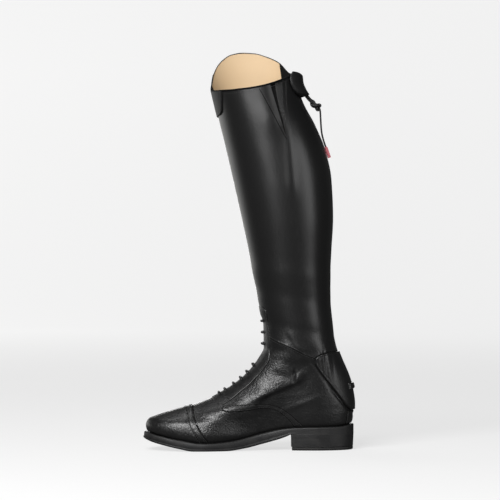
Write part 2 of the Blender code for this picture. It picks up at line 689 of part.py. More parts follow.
def route_points(route, count):
    """Evenly spaced points of a smooth curve through a route."""
    route = np.array(route, float)
    dense = []
    padded = np.vstack((2.0 * route[0] - route[1], route, 2.0 * route[-1] - route[-2]))
    for k in range(1, len(padded) - 2):
        a, b, c, d = padded[k - 1:k + 3]
        for s in np.linspace(0.0, 1.0, 12, endpoint=False):
            dense.append(0.5 * (2.0 * b + (c - a) * s + (2.0 * a - 5.0 * b + 4.0 * c - d) * s * s
                                + (3.0 * b - a - 3.0 * c + d) * s ** 3))
    dense.append(route[-1])
    dense = np.array(dense)
    run = np.concatenate(([0.0], np.cumsum(np.linalg.norm(np.diff(dense, axis=0), axis=1))))
    return [np.array([np.interp(s, run, dense[:, axis]) for axis in range(3)])
            for s in np.linspace(0.0, run[-1], count)]


def build_cord(name, route, count, material):
    """Round cord along a route."""
    curve = bpy.data.curves.new(name, "CURVE")
    curve.dimensions = "3D"
    curve.bevel_depth = CORD_RADIUS * MM
    curve.bevel_resolution = 2
    curve.use_fill_caps = True
    points = route_points(route, count)
    spline = curve.splines.new("POLY")
    spline.points.add(len(points) - 1)
    for point, place in zip(spline.points, points):
        point.co = (*(place * MM), 1.0)
    curve.materials.append(material)
    item = bpy.data.objects.new(name, curve)
    bpy.context.collection.objects.link(item)
    return item


def build_knot(material):
    """Knot of the pull cord."""
    data = bmesh.new()
    bmesh.ops.create_icosphere(data, subdivisions=2, radius=1.0)
    bmesh.ops.scale(data, vec=Vector(KNOT_SIZE) * MM, verts=data.verts)
    bmesh.ops.translate(data, vec=Vector(KNOT_CENTRE) * MM, verts=data.verts)
    return finish_mesh("cord_knot", data, material)


def build_cord_tab(material):
    """Plain coloured tag at the cord's end."""
    end = np.array(CORD_TAIL_ROUTE[-1])
    ahead = end - np.array(CORD_TAIL_ROUTE[-2])
    ahead /= np.linalg.norm(ahead)
    wide = np.array((-ahead[2], 0.0, ahead[0]))
    data = bmesh.new()
    bmesh.ops.create_cube(data, size=1.0)
    bmesh.ops.scale(data, vec=Vector(CORD_TAB_SIZE) * MM, verts=data.verts)
    turn = Matrix((Vector(wide), Vector((0.0, 1.0, 0.0)), Vector(ahead))).transposed()
    centre = end + ahead * (GAP + CORD_TAB_SIZE[2] / 2.0)
    bmesh.ops.transform(data, matrix=Matrix.Translation(Vector(centre * MM)) @ turn.to_4x4(), verts=data.verts)
    return finish_mesh("cord_tab", data, material)


def shrunk(outline, clear):
    """Outline moved inwards by a clearance."""
    points = np.array(outline, float)
    before = points - np.roll(points, 1, axis=0)
    after = np.roll(points, -1, axis=0) - points
    area = np.sum(points[:, 0] * np.roll(points[:, 1], -1) - np.roll(points[:, 0], -1) * points[:, 1])
    turn = 1.0 if area > 0.0 else -1.0
    moved = []
    for p, a, b in zip(points, before, after):
        na = np.array((-a[1], a[0])) * turn / np.linalg.norm(a)
        nb = np.array((-b[1], b[0])) * turn / np.linalg.norm(b)
        middle = na + nb
        middle /= max(np.dot(middle, middle) / 2.0, 0.35)
        moved.append(tuple(p + middle * clear))
    return moved


def main():
    for item in list(bpy.data.objects):
        bpy.data.objects.remove(item, do_unlink=True)
    leather = make_material("black_leather", (0.016, 0.016, 0.017), 0.34)
    overlay_leather = make_material("overlay_leather", (0.014, 0.014, 0.015), 0.36)
    sole_rubber = make_material("sole_rubber", (0.022, 0.022, 0.023), 0.62)
    heel_rubber = make_material("heel_rubber", (0.02, 0.02, 0.021), 0.58)
    lift_rubber = make_material("lift_rubber", (0.016, 0.016, 0.016), 0.7)
    insole_leather = make_material("insole_leather", (0.62, 0.42, 0.24), 0.6)
    tongue_leather = make_material("tongue_leather", (0.012, 0.012, 0.013), 0.45)
    elastic = make_material("elastic", (0.018, 0.018, 0.019), 0.75)
    zip_tape = make_material("zip_tape", (0.028, 0.024, 0.021), 0.7)
    slider_metal = make_material("slider_metal", (0.03, 0.03, 0.03), 0.35, 0.8)
    lace = make_material("lace_cord", (0.02, 0.02, 0.021), 0.6)
    tag_cloth = make_material("tag_cloth", (0.45, 0.05, 0.09), 0.75)

    build_outsole(sole_rubber)
    build_heel(heel_rubber, lift_rubber)
    build_insole(insole_leather)

    upper = closed_band("upper", wall_cells(), -WALL, 0.0, leather)
    cut(upper, prism("gusset_notch", GUSSET_OUTLINE, -90.0, -10.0), "DIFFERENCE")
    build_tongue(tongue_leather)
    panel = shrunk(GUSSET_OUTLINE, GUSSET_CLEAR)
    overlay("gusset", panel, -1.9, 1.3, elastic, -90.0, -10.0)

    overlay("toe_cap", TOE_CAP_OUTLINE, SKIN_GAP, TOE_CAP_THICK, overlay_leather)
    overlay("vamp_seam_medial", VAMP_SEAM_OUTLINE, SKIN_GAP, SEAM_THICK, overlay_leather, -90.0, -2.0)
    overlay("vamp_seam_lateral", VAMP_SEAM_OUTLINE, SKIN_GAP, SEAM_THICK, overlay_leather, 2.0, 90.0)
    overlay("eyestay", EYESTAY_OUTLINE, SKIN_GAP, EYESTAY_THICK, overlay_leather)
    overlay("shaft_facing", FACING_OUTLINE, SKIN_GAP, EYESTAY_THICK, overlay_leather)
    overlay("heel_guard", GUARD_OUTLINE, SKIN_GAP, GUARD_THICK, overlay_leather, over_zip=True)
    spur_low = SKIN_GAP + GUARD_THICK + GAP
    overlay("spur_rest", SPUR_OUTLINE, spur_low, SPUR_THICK, sole_rubber, -SPUR_HALF, SPUR_HALF)
    overlay("back_strip", STRIP_OUTLINE, SKIN_GAP, STRIP_THICK, overlay_leather)
    overlay("front_tab", FRONT_TAB_OUTLINE, SKIN_GAP, FRONT_TAB_THICK, overlay_leather, *FRONT_TAB_REACH)

    for number, level in enumerate(LACE_LEVELS, 1):
        build_lace_bar(number, level, lace)

    build_zip(zip_tape)
    build_slider(slider_metal)
    build_top_tab(overlay_leather)
    build_cord("zip_cord_upper", CORD_UPPER_ROUTE, 5, lace)
    build_knot(lace)
    build_cord("zip_cord_tail", CORD_TAIL_ROUTE, 12, lace)
    build_cord_tab(tag_cloth)


main()
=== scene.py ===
# Tall laced riding boot for the right foot: leather, stitching, lace, zip, pull cord, sole and heel.
# Toe to -X, up +Z, inner side of the leg to -Y. Tables are in millimetres, the scene is in metres.
import math

import bmesh
import bpy
import numpy as np
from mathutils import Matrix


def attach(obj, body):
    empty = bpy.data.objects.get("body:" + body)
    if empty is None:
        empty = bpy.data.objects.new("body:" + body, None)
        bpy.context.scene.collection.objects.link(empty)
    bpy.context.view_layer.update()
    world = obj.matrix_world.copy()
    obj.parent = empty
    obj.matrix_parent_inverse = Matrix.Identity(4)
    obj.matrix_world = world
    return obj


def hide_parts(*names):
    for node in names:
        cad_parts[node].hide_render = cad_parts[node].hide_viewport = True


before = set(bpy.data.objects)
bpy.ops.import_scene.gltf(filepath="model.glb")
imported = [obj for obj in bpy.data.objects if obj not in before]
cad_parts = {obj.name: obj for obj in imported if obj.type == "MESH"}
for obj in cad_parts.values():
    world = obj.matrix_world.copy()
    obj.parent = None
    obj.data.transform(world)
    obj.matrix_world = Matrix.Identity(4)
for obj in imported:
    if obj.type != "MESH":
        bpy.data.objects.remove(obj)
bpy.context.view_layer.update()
mm = 0.001
print("frame loaded with", len(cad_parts), "nodes")

studio = {
    "cameraPlace": (0.00065, -3.0, 0.2583),
    "lens": 166.15,
    "floorColour": (0.26, 0.26, 0.26),
    "floorGlow": (0.68, 0.68, 0.68),  # the pale sweep as the camera sees it, near the boot
    "backGlow": (0.82, 0.82, 0.82),  # and far from it
    "dimColour": (0.05, 0.05, 0.05),  # the same sweep as the leather reflects it
    "floorDim": (0.06, 0.06, 0.06),  # and its glow there
    "backLight": (1.0, 1.0, 0.98),  # bright wall behind, which only grazing surfaces reflect
    "skyColour": (0.90, 0.90, 0.90),  # seen above the sweep
    "roomColour": (0.025, 0.025, 0.025),  # what the leather reflects besides the lights
    "sweep": (4.4, 0.9, 2.2),  # radius of the flat floor, radius of its curve, top of the wall
    "glowRun": (0.3, 4.6),  # distances from the boot over which the glow changes
    "skyBehind": ((0.15, 0.6), (0.25, -0.1), (0.52, 0.34)),  # the back light is gone and full here, along Y, X and Z
    "sweepBehind": ((0.25, 1.7), (0.4, -1.4), (2.0, 1.1)),  # the same on the sweep, in metres
    "lights": (  # name, place, aim, width, height, power
        ("keySoftbox", (-0.72, -1.7, 1.5), (0.0, 0.0, 0.15), 1.25, 1.1, 60.0),
        ("tallSoftbox", (-0.71, -2.05, 0.78), (0.0, 0.0, 0.35), 0.7, 1.1, 9.6),
        ("topSoftbox", (-0.45, 0.5, 2.0), (-0.1, 0.0, 0.05), 0.6, 0.5, 4.8),
        ("sideSoftbox", (-1.65, 1.3, 0.55), (0.0, 0.0, 0.3), 0.6, 1.2, 1.1),
        ("fillSoftbox", (1.6, -1.55, 0.6), (0.0, 0.0, 0.3), 1.0, 1.2, 10.0),
        ("farSoftbox", (0.0, 2.5, 0.42), (0.0, 0.0, 0.35), 0.8, 0.7, 8.5),
    ),
    "offFloor": ("tallSoftbox", "sideSoftbox", "fillSoftbox", "farSoftbox"),  # these leave the floor alone
}


def makeCamera():
    data = bpy.data.cameras.new("photoCamera")
    data.sensor_width = 36.0
    data.lens = studio["lens"]
    data.clip_end = 50.0
    item = bpy.data.objects.new("photoCamera", data)
    item.location = studio["cameraPlace"]
    item.rotation_euler = (math.pi / 2.0, 0.0, 0.0)
    bpy.context.scene.collection.objects.link(item)
    bpy.context.scene.camera = item


def makeLights():
    world = bpy.data.worlds.new("paleStudio")
    world.use_nodes = True
    tree = world.node_tree
    seen = tree.nodes.new("ShaderNodeLightPath").outputs["Is Camera Ray"]
    direction = tree.nodes.new("ShaderNodeTexCoord").outputs["Generated"]
    behind = behindShare(tree, direction, *studio["skyBehind"])
    reflected = blendColours(tree, behind, studio["roomColour"], studio["backLight"])
    tree.links.new(blendColours(tree, seen, reflected, studio["skyColour"]), tree.nodes["Background"].inputs["Color"])
    bpy.context.scene.world = world
    for name, place, aim, width, height, power in studio["lights"]:
        data = bpy.data.lights.new(name, "AREA")
        data.shape = "RECTANGLE"
        data.size, data.size_y = width, height
        data.energy = power
        item = bpy.data.objects.new(name, data)
        item.location = place
        turn = [a - b for a, b in zip(place, aim)]
        flat = math.hypot(turn[0], turn[1])
        item.rotation_euler = (math.atan2(flat, turn[2]), 0.0, math.atan2(turn[0], -turn[1]))
        item.visible_camera = False
        bpy.context.scene.collection.objects.link(item)


# Shape of the boot, the same sections as the solids
boot = {
    "wall": 2.2,
    "zipHalf": 4.0,
    "zipBottom": 116.0,
    "throatBottom": 92.0,
    "throatTop": 172.0,
    "throatOver": (0.8, 1.4),  # the facings' edge closes this far below and above the throat
    "collarBase": 432.0,
    "collarRun": 40.0,  # the collar's blend fills ring places 432 to 472
    "stations": (0.0, 0.15, 0.42, 0.72, 0.90, 1.0),
    "bend": ((-137.75, -7.5), (-110.0, -3.4), (-60.0, 0.8), (20.0, 3.2), (95.0, 0.0), (135.6, 0.0)),
    "bendFade": (40.0, 150.0),
    "throat": ((34.0, 5.0), (92.0, 4.5), (100.0, 7.0), (130.0, 7.5), (160.0, 7.0), (172.0, 5.0), (520.0, 6.0)),
    "footColumns": ("level", "backX", "frontX", "frontZ", "heelR", "heel", "waist", "ball", "toe", "toeR", "bow"),
    "foot": (
        (33.8, 132.2, -131.8, 24.2, 27.0, 28.6, 28.0, 44.0, 32.6, 25.0, 1.0),
        (43.0, 133.8, -133.2, 32.5, 28.0, 29.6, 29.6, 44.8, 33.6, 25.0, 0.8),
        (52.0, 134.8, -130.2, 39.6, 28.5, 30.0, 31.0, 44.2, 31.6, 18.0, 0.5),
        (60.0, 134.8, -119.5, 44.6, 28.5, 30.0, 32.0, 42.0, 25.5, 12.0, 0.25),
        (68.0, 134.0, -101.0, 50.2, 28.0, 29.8, 32.6, 38.5, 22.5, 10.0, 0.1),
        (77.0, 132.5, -78.0, 56.2, 27.5, 29.3, 32.6, 34.8, 21.0, 10.0, 0.0),
        (87.0, 130.2, -54.5, 64.4, 27.0, 28.8, 32.2, 32.8, 20.8, 10.0, 0.0),
        (96.5, 127.0, -35.6, 74.8, 26.5, 28.4, 32.2, 31.6, 20.4, 11.0, 0.0),
        (106.0, 123.0, -17.0, 87.4, 26.5, 28.2, 32.6, 31.4, 20.6, 12.0, 0.0),
        (116.0, 118.6, -2.6, 100.6, 27.0, 28.2, 33.4, 31.8, 21.0, 13.0, 0.0),
        (126.5, 114.6, 10.2, 117.0, 27.0, 28.0, 34.6, 32.6, 22.0, 15.0, 0.0),
        (136.0, 111.8, 17.6, 131.4, 27.0, 27.6, 35.6, 32.8, 22.4, 20.0, 0.0),
    ),
    "shaft": (  # level, back, front, half width
        (150.0, 109.4, 17.6, 36.6), (163.0, 107.9, 17.2, 37.2), (180.0, 106.2, 13.6, 38.2),
        (219.0, 104.6, 6.0, 41.6), (258.0, 106.2, -1.2, 45.6), (300.0, 108.4, -10.2, 49.6),
        (350.0, 106.2, -21.4, 52.6), (388.0, 98.2, -30.2, 53.4), (420.0, 85.2, -38.0, 53.2),
        (455.0, 67.6, -46.4, 52.2), (487.0, 60.2, -54.0, 51.6), (520.0, 58.0, -61.6, 51.0),
    ),
    "shaftFullness": (1.0, 1.03, 1.0, 1.02, 1.03, 0.97),
    "collar": (  # angle from the back, inner height, outer height
        (0.0, 487.0, 487.0), (28.0, 484.0, 490.0), (50.0, 477.0, 506.0), (68.0, 471.5, 514.0),
        (82.0, 468.0, 518.2), (97.0, 465.5, 519.0), (112.0, 464.0, 516.5), (128.0, 463.0, 508.0),
        (147.0, 463.0, 492.5), (165.0, 464.0, 475.0), (180.0, 465.5, 465.5),
    ),
    "soleTop": ((-137.75, 24.4), (-120.0, 20.0), (-90.0, 14.0), (-58.0, 9.8), (-48.0, 10.0), (-26.0, 11.8),
                (-4.5, 16.0), (18.0, 22.0), (47.0, 28.0), (70.0, 29.4), (115.0, 30.2), (135.6, 33.6)),
    "soleBottom": ((-137.75, 15.6), (-125.0, 11.0), (-106.0, 6.4), (-90.0, 3.0), (-72.0, 0.0), (-30.0, 0.0),
                   (-4.5, 3.2), (13.6, 7.6), (39.0, 14.8), (48.0, 18.2), (53.2, 20.5), (135.6, 20.5)),
    "solePlan": {"heelR": 30.0, "heel": 31.5, "waist": 30.5, "ball": 47.0, "toe": 35.5, "toeR": 27.0},
    "soleEnds": (-137.75, 135.6),
    "gap": 0.3,
}
footRing, collarRing, topLevel = 33.8, 472.0, 520.0  # lowest and highest ring place, greatest height


def throughPoints(points, value):  # smooth curve through rising points, no overshoot
    place = np.array([p[0] for p in points], float)
    height = np.array([p[1] for p in points], float)
    step = np.diff(place)
    slope = np.diff(height) / step
    product = slope[:-1] * slope[1:]
    tangent = np.zeros(len(place))
    tangent[1:-1] = np.where(product > 0.0, 2.0 * product / np.where(product > 0.0, slope[:-1] + slope[1:], 1.0), 0.0)
    tangent[0], tangent[-1] = slope[0], slope[-1]
    x = np.clip(np.asarray(value, float), place[0], place[-1])
    k = np.clip(np.searchsorted(place, x) - 1, 0, len(step) - 1)
    s = (x - place[k]) / step[k]
    rise = (1.0 + 2.0 * s) * (1.0 - s) ** 2 * height[k] + s * (1.0 - s) ** 2 * step[k] * tangent[k]
    return rise + s * s * (3.0 - 2.0 * s) * height[k + 1] + s * s * (s - 1.0) * step[k] * tangent[k + 1]


stationAngles = np.arccos(1.0 - 2.0 * np.array(boot["stations"]))


def spanFactors(plan, length):  # widths as multiples of the angle's sine
    ends = (math.sqrt(plan["heelR"] * length / 2.0), math.sqrt(plan["toeR"] * length / 2.0))
    middle = [plan[key] / math.sin(a) for key, a in zip(("heel", "waist", "ball", "toe"), stationAngles[1:5])]
    return (ends[0], *middle, ends[1])


def sectionTable():
    rows = []
    for values in boot["foot"]:
        row = dict(zip(boot["footColumns"], values))
        row["spans"] = spanFactors(row, row["backX"] - row["frontX"])
        rows.append(row)
    for level, backX, frontX, half in boot["shaft"]:
        spans = tuple(half * f for f in boot["shaftFullness"])
        rows.append({"level": level, "backX": backX, "frontX": frontX, "frontZ": level, "bow": 0.0, "spans": spans})
    levels = np.arange(footRing, topLevel + 0.01, 0.2)
    table = {"level": levels}
    for key in ("backX", "frontX", "frontZ", "bow"):
        table[key] = throughPoints([(r["level"], r[key]) for r in rows], levels)
    for k in range(6):
        table["span%d" % k] = throughPoints([(r["level"], r["spans"][k]) for r in rows], levels)
    return table


sections = sectionTable()


def look(key, level):
    return np.interp(level, sections["level"], sections[key])


def spanAcross(heights, angle):  # width factor between the stations
    step = np.diff(stationAngles)
    slope = np.diff(heights, axis=-1) / step
    product = slope[..., :-1] * slope[..., 1:]
    total = np.where(product > 0.0, slope[..., :-1] + slope[..., 1:], 1.0)
    tangent = np.zeros_like(heights)
    tangent[..., 1:-1] = np.where(product > 0.0, 2.0 * product / total, 0.0)
    tangent[..., 0], tangent[..., -1] = slope[..., 0], slope[..., -1]
    k = np.clip(np.searchsorted(stationAngles, angle) - 1, 0, 4)
    s = (angle - stationAngles[k]) / step[k]

    def pick(values, index):
        return np.take_along_axis(values, index[..., None], -1)[..., 0]

    low = (1.0 + 2.0 * s) * (1.0 - s) ** 2 * pick(heights, k) + s * (1.0 - s) ** 2 * step[k] * pick(tangent, k)
    high = s * s * (3.0 - 2.0 * s) * pick(heights, k + 1) + s * s * (s - 1.0) * step[k] * pick(tangent, k + 1)
    return low + high


def sideBend(x, z):
    low, high = boot["bendFade"]
    fade = np.clip((high - z) / (high - low), 0.0, 1.0)
    return throughPoints(boot["bend"], x) * fade * fade * (3.0 - 2.0 * fade)


def soleBow(x):  # sole's top against the straight line from heel to toe
    level, back, front, toe = boot["foot"][0][:4]
    share = (back - x) / (back - front)
    return throughPoints(boot["soleTop"], x) + boot["gap"] - (level + share * (toe - level))


def shareAt(level, x):  # 0 at a ring's back, 1 at its front
    back = look("backX", level)
    return np.clip((back - x) / (back - look("frontX", level)), 0.0, 1.0)


def spansAt(level):
    return np.stack([look("span%d" % k, level) for k in range(6)], axis=-1)


def ringHeight(level, x):  # height of a ring seen from the side
    return level + shareAt(level, x) * (look("frontZ", level) - level) + look("bow", level) * soleBow(x)


def skinPoint(level, phi):  # phi is 0 at the back, positive along the outer side, pi at the front
    level, phi = np.broadcast_arrays(np.asarray(level, float), np.asarray(phi, float))
    share = (1.0 - np.cos(phi)) / 2.0
    x = look("backX", level) + share * (look("frontX", level) - look("backX", level))
    z = level + share * (look("frontZ", level) - level) + look("bow", level) * soleBow(x)
    y = spanAcross(spansAt(level), np.arccos(np.clip(np.cos(phi), -1.0, 1.0))) * np.sin(phi) + sideBend(x, z)
    return np.stack((x, y, z), axis=-1)


def collarHeight(phi):
    degrees = np.degrees(np.arccos(np.clip(np.cos(phi), -1.0, 1.0)))
    inner = throughPoints([(r[0], r[1]) for r in boot["collar"]], degrees)
    outer = throughPoints([(r[0], r[2]) for r in boot["collar"]], degrees)
    return np.where(np.sin(phi) < 0.0, inner, outer)


def levelOf(ring, phi):  # ring places above the collar's base blend to its top edge
    base = boot["collarBase"]
    share = np.clip((ring - base) / boot["collarRun"], 0.0, None)
    return np.where(ring <= base, ring, base + (collarHeight(phi) - base) * share)


def ringOf(level, phi):
    base = boot["collarBase"]
    return np.where(level <= base, level, base + boot["collarRun"] * (level - base) / (collarHeight(phi) - base))


def skinAt(ring, phi):
    ring, phi = np.broadcast_arrays(np.asarray(ring, float), np.asarray(phi, float))
    return skinPoint(levelOf(ring, phi), phi)


def normalAt(ring, phi):
    ring, phi = np.broadcast_arrays(np.asarray(ring, float), np.asarray(phi, float))
    around = skinAt(ring, phi + 0.006) - skinAt(ring, phi - 0.006)
    upward = skinAt(np.minimum(ring + 0.5, collarRing), phi) - skinAt(np.maximum(ring - 0.5, footRing), phi)
    normal = np.cross(around, upward)
    return normal / np.linalg.norm(normal, axis=-1, keepdims=True)


# Creases and pulls of the leather, listed one by one: ends seen from the side, width (or widths above and below),
# height, side (-1 inner, 1 outer, 0 both)
creases = (
    ((10.0, 63.0), (20.0, 72.0), (12.0, 4.0), 2.2, -1),  # quarter: a full shelf that breaks off along its lower edge
    ((20.0, 72.0), (54.0, 86.5), (12.0, 3.2), 2.8, -1),
    ((57.2, 99.0), (57.4, 90.0), 1.9, -2.8, -1),
    ((36.0, 98.0), (47.0, 93.5), 5.0, -0.8, -1),
    ((-4.0, 84.0), (22.0, 110.0), 5.0, -0.5, -1),
    ((34.0, 116.0), (54.0, 112.0), 6.0, -0.6, -1),
    ((42.0, 136.0), (62.0, 131.0), 7.0, 0.9, -1),
    ((63.0, 94.0), (68.5, 100.0), 4.8, 1.3, -1),
    ((68.0, 119.0), (82.0, 120.0), 5.0, 0.7, -1),
    ((48.0, 53.0), (82.0, 66.5), 3.2, 0.4, -1),
    ((52.0, 140.0), (70.0, 110.0), 3.6, -0.5, -1),
    ((58.0, 142.0), (76.0, 114.0), 4.0, 0.3, -1),
    ((-64.0, 44.0), (-28.0, 43.0), 6.0, -1.4, -1),  # vamp: drawn in along the top, full low down
    ((-58.0, 21.0), (-26.0, 21.0), 9.0, 2.0, -1),
    ((84.0, 108.5), (109.0, 75.0), 1.5, -0.6, 0),  # under the edge of the heel guard
    ((109.0, 75.0), (130.0, 50.6), 2.0, -1.2, 0),
    ((54.0, 104.0), (59.0, 90.0), 2.8, -1.2, 1),  # calmer set of the outer side
    ((20.0, 74.0), (52.0, 86.0), 3.6, 1.0, 1),
    ((22.0, 82.0), (54.0, 97.0), 4.0, -0.9, 1),
    ((60.0, 136.0), (74.0, 108.0), 4.2, -0.8, 1),
    ((44.0, 54.0), (84.0, 64.0), 5.0, 0.6, 1),
    ((-60.0, 50.0), (-48.0, 28.0), 5.0, -0.3, 1),
    ((-46.0, 55.0), (-34.0, 26.0), 5.5, -0.3, 1),
    ((88.6, 118.0), (90.0, 108.0), 1.0, 0.5, 0),  # pleats of the heel guard
    ((91.0, 120.0), (93.0, 104.0), 0.9, -0.4, 0),
    ((93.4, 121.0), (96.0, 100.0), 1.0, 0.45, 0),
    ((96.4, 121.5), (99.6, 96.0), 1.0, -0.4, 0),
    ((99.4, 122.0), (103.6, 92.0), 1.3, 0.35, 0),
    ((104.6, 122.0), (109.0, 88.0), 1.5, -0.3, 0),
    ((20.0, 206.0), (96.0, 190.0), 9.0, -0.5, 0),  # soft waves of the shaft
    ((16.0, 232.0), (98.0, 222.0), 11.0, 0.5, 0),
    ((40.0, 160.0), (96.0, 148.0), 7.0, -0.5, 0),
    ((50.0, 405.0), (54.0, 350.0), 7.0, 1.3, -1),
    ((20.0, 470.0), (27.0, 430.0), 13.0, 2.0, -1),
)


def creaseLift(x, z, side):
    lift = np.zeros(np.broadcast(x, z, side).shape)
    for (x0, z0), (x1, z1), width, height, which in creases:
        run = math.hypot(x1 - x0, z1 - z0)
        along = ((x - x0) * (x1 - x0) + (z - z0) * (z1 - z0)) / run
        across = ((x - x0) * (z1 - z0) - (z - z0) * (x1 - x0)) / run
        over = np.maximum(np.maximum(-along, along - run), 0.0)
        above, below = width if isinstance(width, tuple) else (width, width)
        broad = np.where(across < 0.0, above, below)
        here = np.exp(-(across / broad) ** 2 - (over / (0.25 * run + below)) ** 2)
        lift += height * here * (1.0 if which == 0 else np.clip(which * side * 6.0, 0.0, 1.0))
    return lift


def shell(ring, phi, lift=0.0):  # point at a height over the creased leather
    base = skinAt(ring, phi)
    tuck = -2.2 * np.clip((38.0 - np.asarray(ring, float)) / 4.2, 0.0, 1.0) ** 2  # drawn in above the sole
    rise = lift + tuck + creaseLift(base[..., 0], base[..., 2], np.sin(phi) * np.ones(base.shape[:-1]))
    return base + normalAt(ring, phi) * rise[..., None]


def fromSide(x, z, side):  # ring place and angle of a point seen from the side
    x, z = np.broadcast_arrays(np.asarray(x, float), np.asarray(z, float))
    low, high = np.full(x.shape, footRing), np.full(x.shape, topLevel - 0.5)
    for _ in range(36):
        middle = (low + high) / 2.0
        under = ringHeight(middle, x) < z
        low, high = np.where(under, middle, low), np.where(under, high, middle)
    phi = side * angleAt(low, x)
    return ringOf(low, phi), phi


def angleAt(level, x):
    return np.arccos(1.0 - 2.0 * shareAt(level, x))


def edgeAngle(ring, half, atFront):  # angle where a ring is a half width away from its end
    ring = np.asarray(ring, float)
    low, high = np.zeros(ring.shape), np.full(ring.shape, math.pi / 3.0)
    for _ in range(30):
        middle = (low + high) / 2.0
        angle = math.pi - middle if atFront else middle
        near = spanAcross(spansAt(levelOf(ring, angle)), angle) * np.sin(angle) < half
        low, high = np.where(near, middle, low), np.where(near, high, middle)
    return math.pi - low if atFront else low


def smoothPath(points, count):  # evenly spaced points of a curve through a few places
    points = np.array(points, float)
    padded = np.vstack((2.0 * points[0] - points[1], points, 2.0 * points[-1] - points[-2]))
    dense = []
    for a, b, c, d in zip(padded, padded[1:], padded[2:], padded[3:]):
        for s in np.linspace(0.0, 1.0, 16, endpoint=False):
            turn = (2.0 * a - 5.0 * b + 4.0 * c - d) * s * s + (3.0 * b - a - 3.0 * c + d) * s ** 3
            dense.append(0.5 * (2.0 * b + (c - a) * s + turn))
    return evenly(np.array(dense + [points[-1]]), count)


def runAlong(points):  # distance from the start at every point of a path
    return np.concatenate(([0.0], np.cumsum(np.linalg.norm(np.diff(points, axis=0), axis=1))))


def pickAlong(table, run, places):  # rows of a table at distances along its path
    return np.stack([np.interp(places, run, column) for column in table.T], axis=1)


def evenly(points, count):
    run = runAlong(points)
    return pickAlong(points, run, np.linspace(0.0, run[-1], count))


print("boot sections are ready")


def feed(tree, socket, value):  # a socket takes a link or a plain number
    if isinstance(value, bpy.types.NodeSocket):
        tree.links.new(value, socket)
    else:
        socket.default_value = value


def maths(tree, operation, a, b=0.0):
    made = tree.nodes.new("ShaderNodeMath")
    made.operation = operation
    feed(tree, made.inputs[0], a)
    feed(tree, made.inputs[1], b)
    return made.outputs[0]


def addUp(tree, *terms):  # sum of socket and weight pairs
    total = None
    for socket, weight in terms:
        part = maths(tree, "MULTIPLY", socket, weight)
        total = part if total is None else maths(tree, "ADD", total, part)
    return total


def noiseAt(tree, vector, scale, detail=2.0, roughness=0.5):
    made = tree.nodes.new("ShaderNodeTexNoise")
    tree.links.new(vector, made.inputs["Vector"])
    feed(tree, made.inputs["Scale"], scale)
    made.inputs["Detail"].default_value = detail
    made.inputs["Roughness"].default_value = roughness
    return made.outputs["Fac"]


def cellsAt(tree, vector, scale, smoothness=0.7):
    made = tree.nodes.new("ShaderNodeTexVoronoi")
    made.feature = "SMOOTH_F1"
    tree.links.new(vector, made.inputs["Vector"])
    feed(tree, made.inputs["Scale"], scale)
    made.inputs["Smoothness"].default_value = smoothness
    return made.outputs["Distance"]


def spread(tree, value, low, high, toLow, toHigh):
    made = tree.nodes.new("ShaderNodeMapRange")
    made.interpolation_type = "SMOOTHSTEP"
    feed(tree, made.inputs["Value"], value)
    for name, number in (("From Min", low), ("From Max", high), ("To Min", toLow), ("To Max", toHigh)):
        feed(tree, made.inputs[name], number)
    return made.outputs["Result"]


def blendColours(tree, share, first, second):
    made = tree.nodes.new("ShaderNodeMix")
    made.data_type = "RGBA"
    feed(tree, made.inputs[0], share)
    for socket, colour in ((made.inputs[6], first), (made.inputs[7], second)):
        feed(tree, socket, colour if isinstance(colour, bpy.types.NodeSocket) else (*colour, 1.0))
    return made.outputs[2]


def objectPoint(tree):
    return tree.nodes.new("ShaderNodeTexCoord").outputs["Object"]


def axesOf(tree, vector):  # X, Y and Z of a vector
    made = tree.nodes.new("ShaderNodeSeparateXYZ")
    tree.links.new(vector, made.inputs[0])
    return made.outputs


def behindShare(tree, vector, far, left, top):  # 1 low behind the boot on its toe side, 0 elsewhere
    axes = axesOf(tree, vector)
    share = spread(tree, axes["Y"], *far, 0.0, 1.0)
    for axis, (gone, full) in (("X", left), ("Z", top)):
        past = spread(tree, axes[axis], full, gone, 0.0, 1.0)
        share = maths(tree, "MULTIPLY", share, maths(tree, "SUBTRACT", 1.0, past))
    return share


def newGroup(name, inputs, outputs):
    group = bpy.data.node_groups.new(name, "ShaderNodeTree")
    for title, value in inputs.items():
        group.interface.new_socket(title, in_out="INPUT", socket_type="NodeSocketFloat").default_value = value
    for title in outputs:
        group.interface.new_socket(title, in_out="OUTPUT", socket_type="NodeSocketFloat")
    return group, group.nodes.new("NodeGroupInput").outputs, group.nodes.new("NodeGroupOutput").inputs


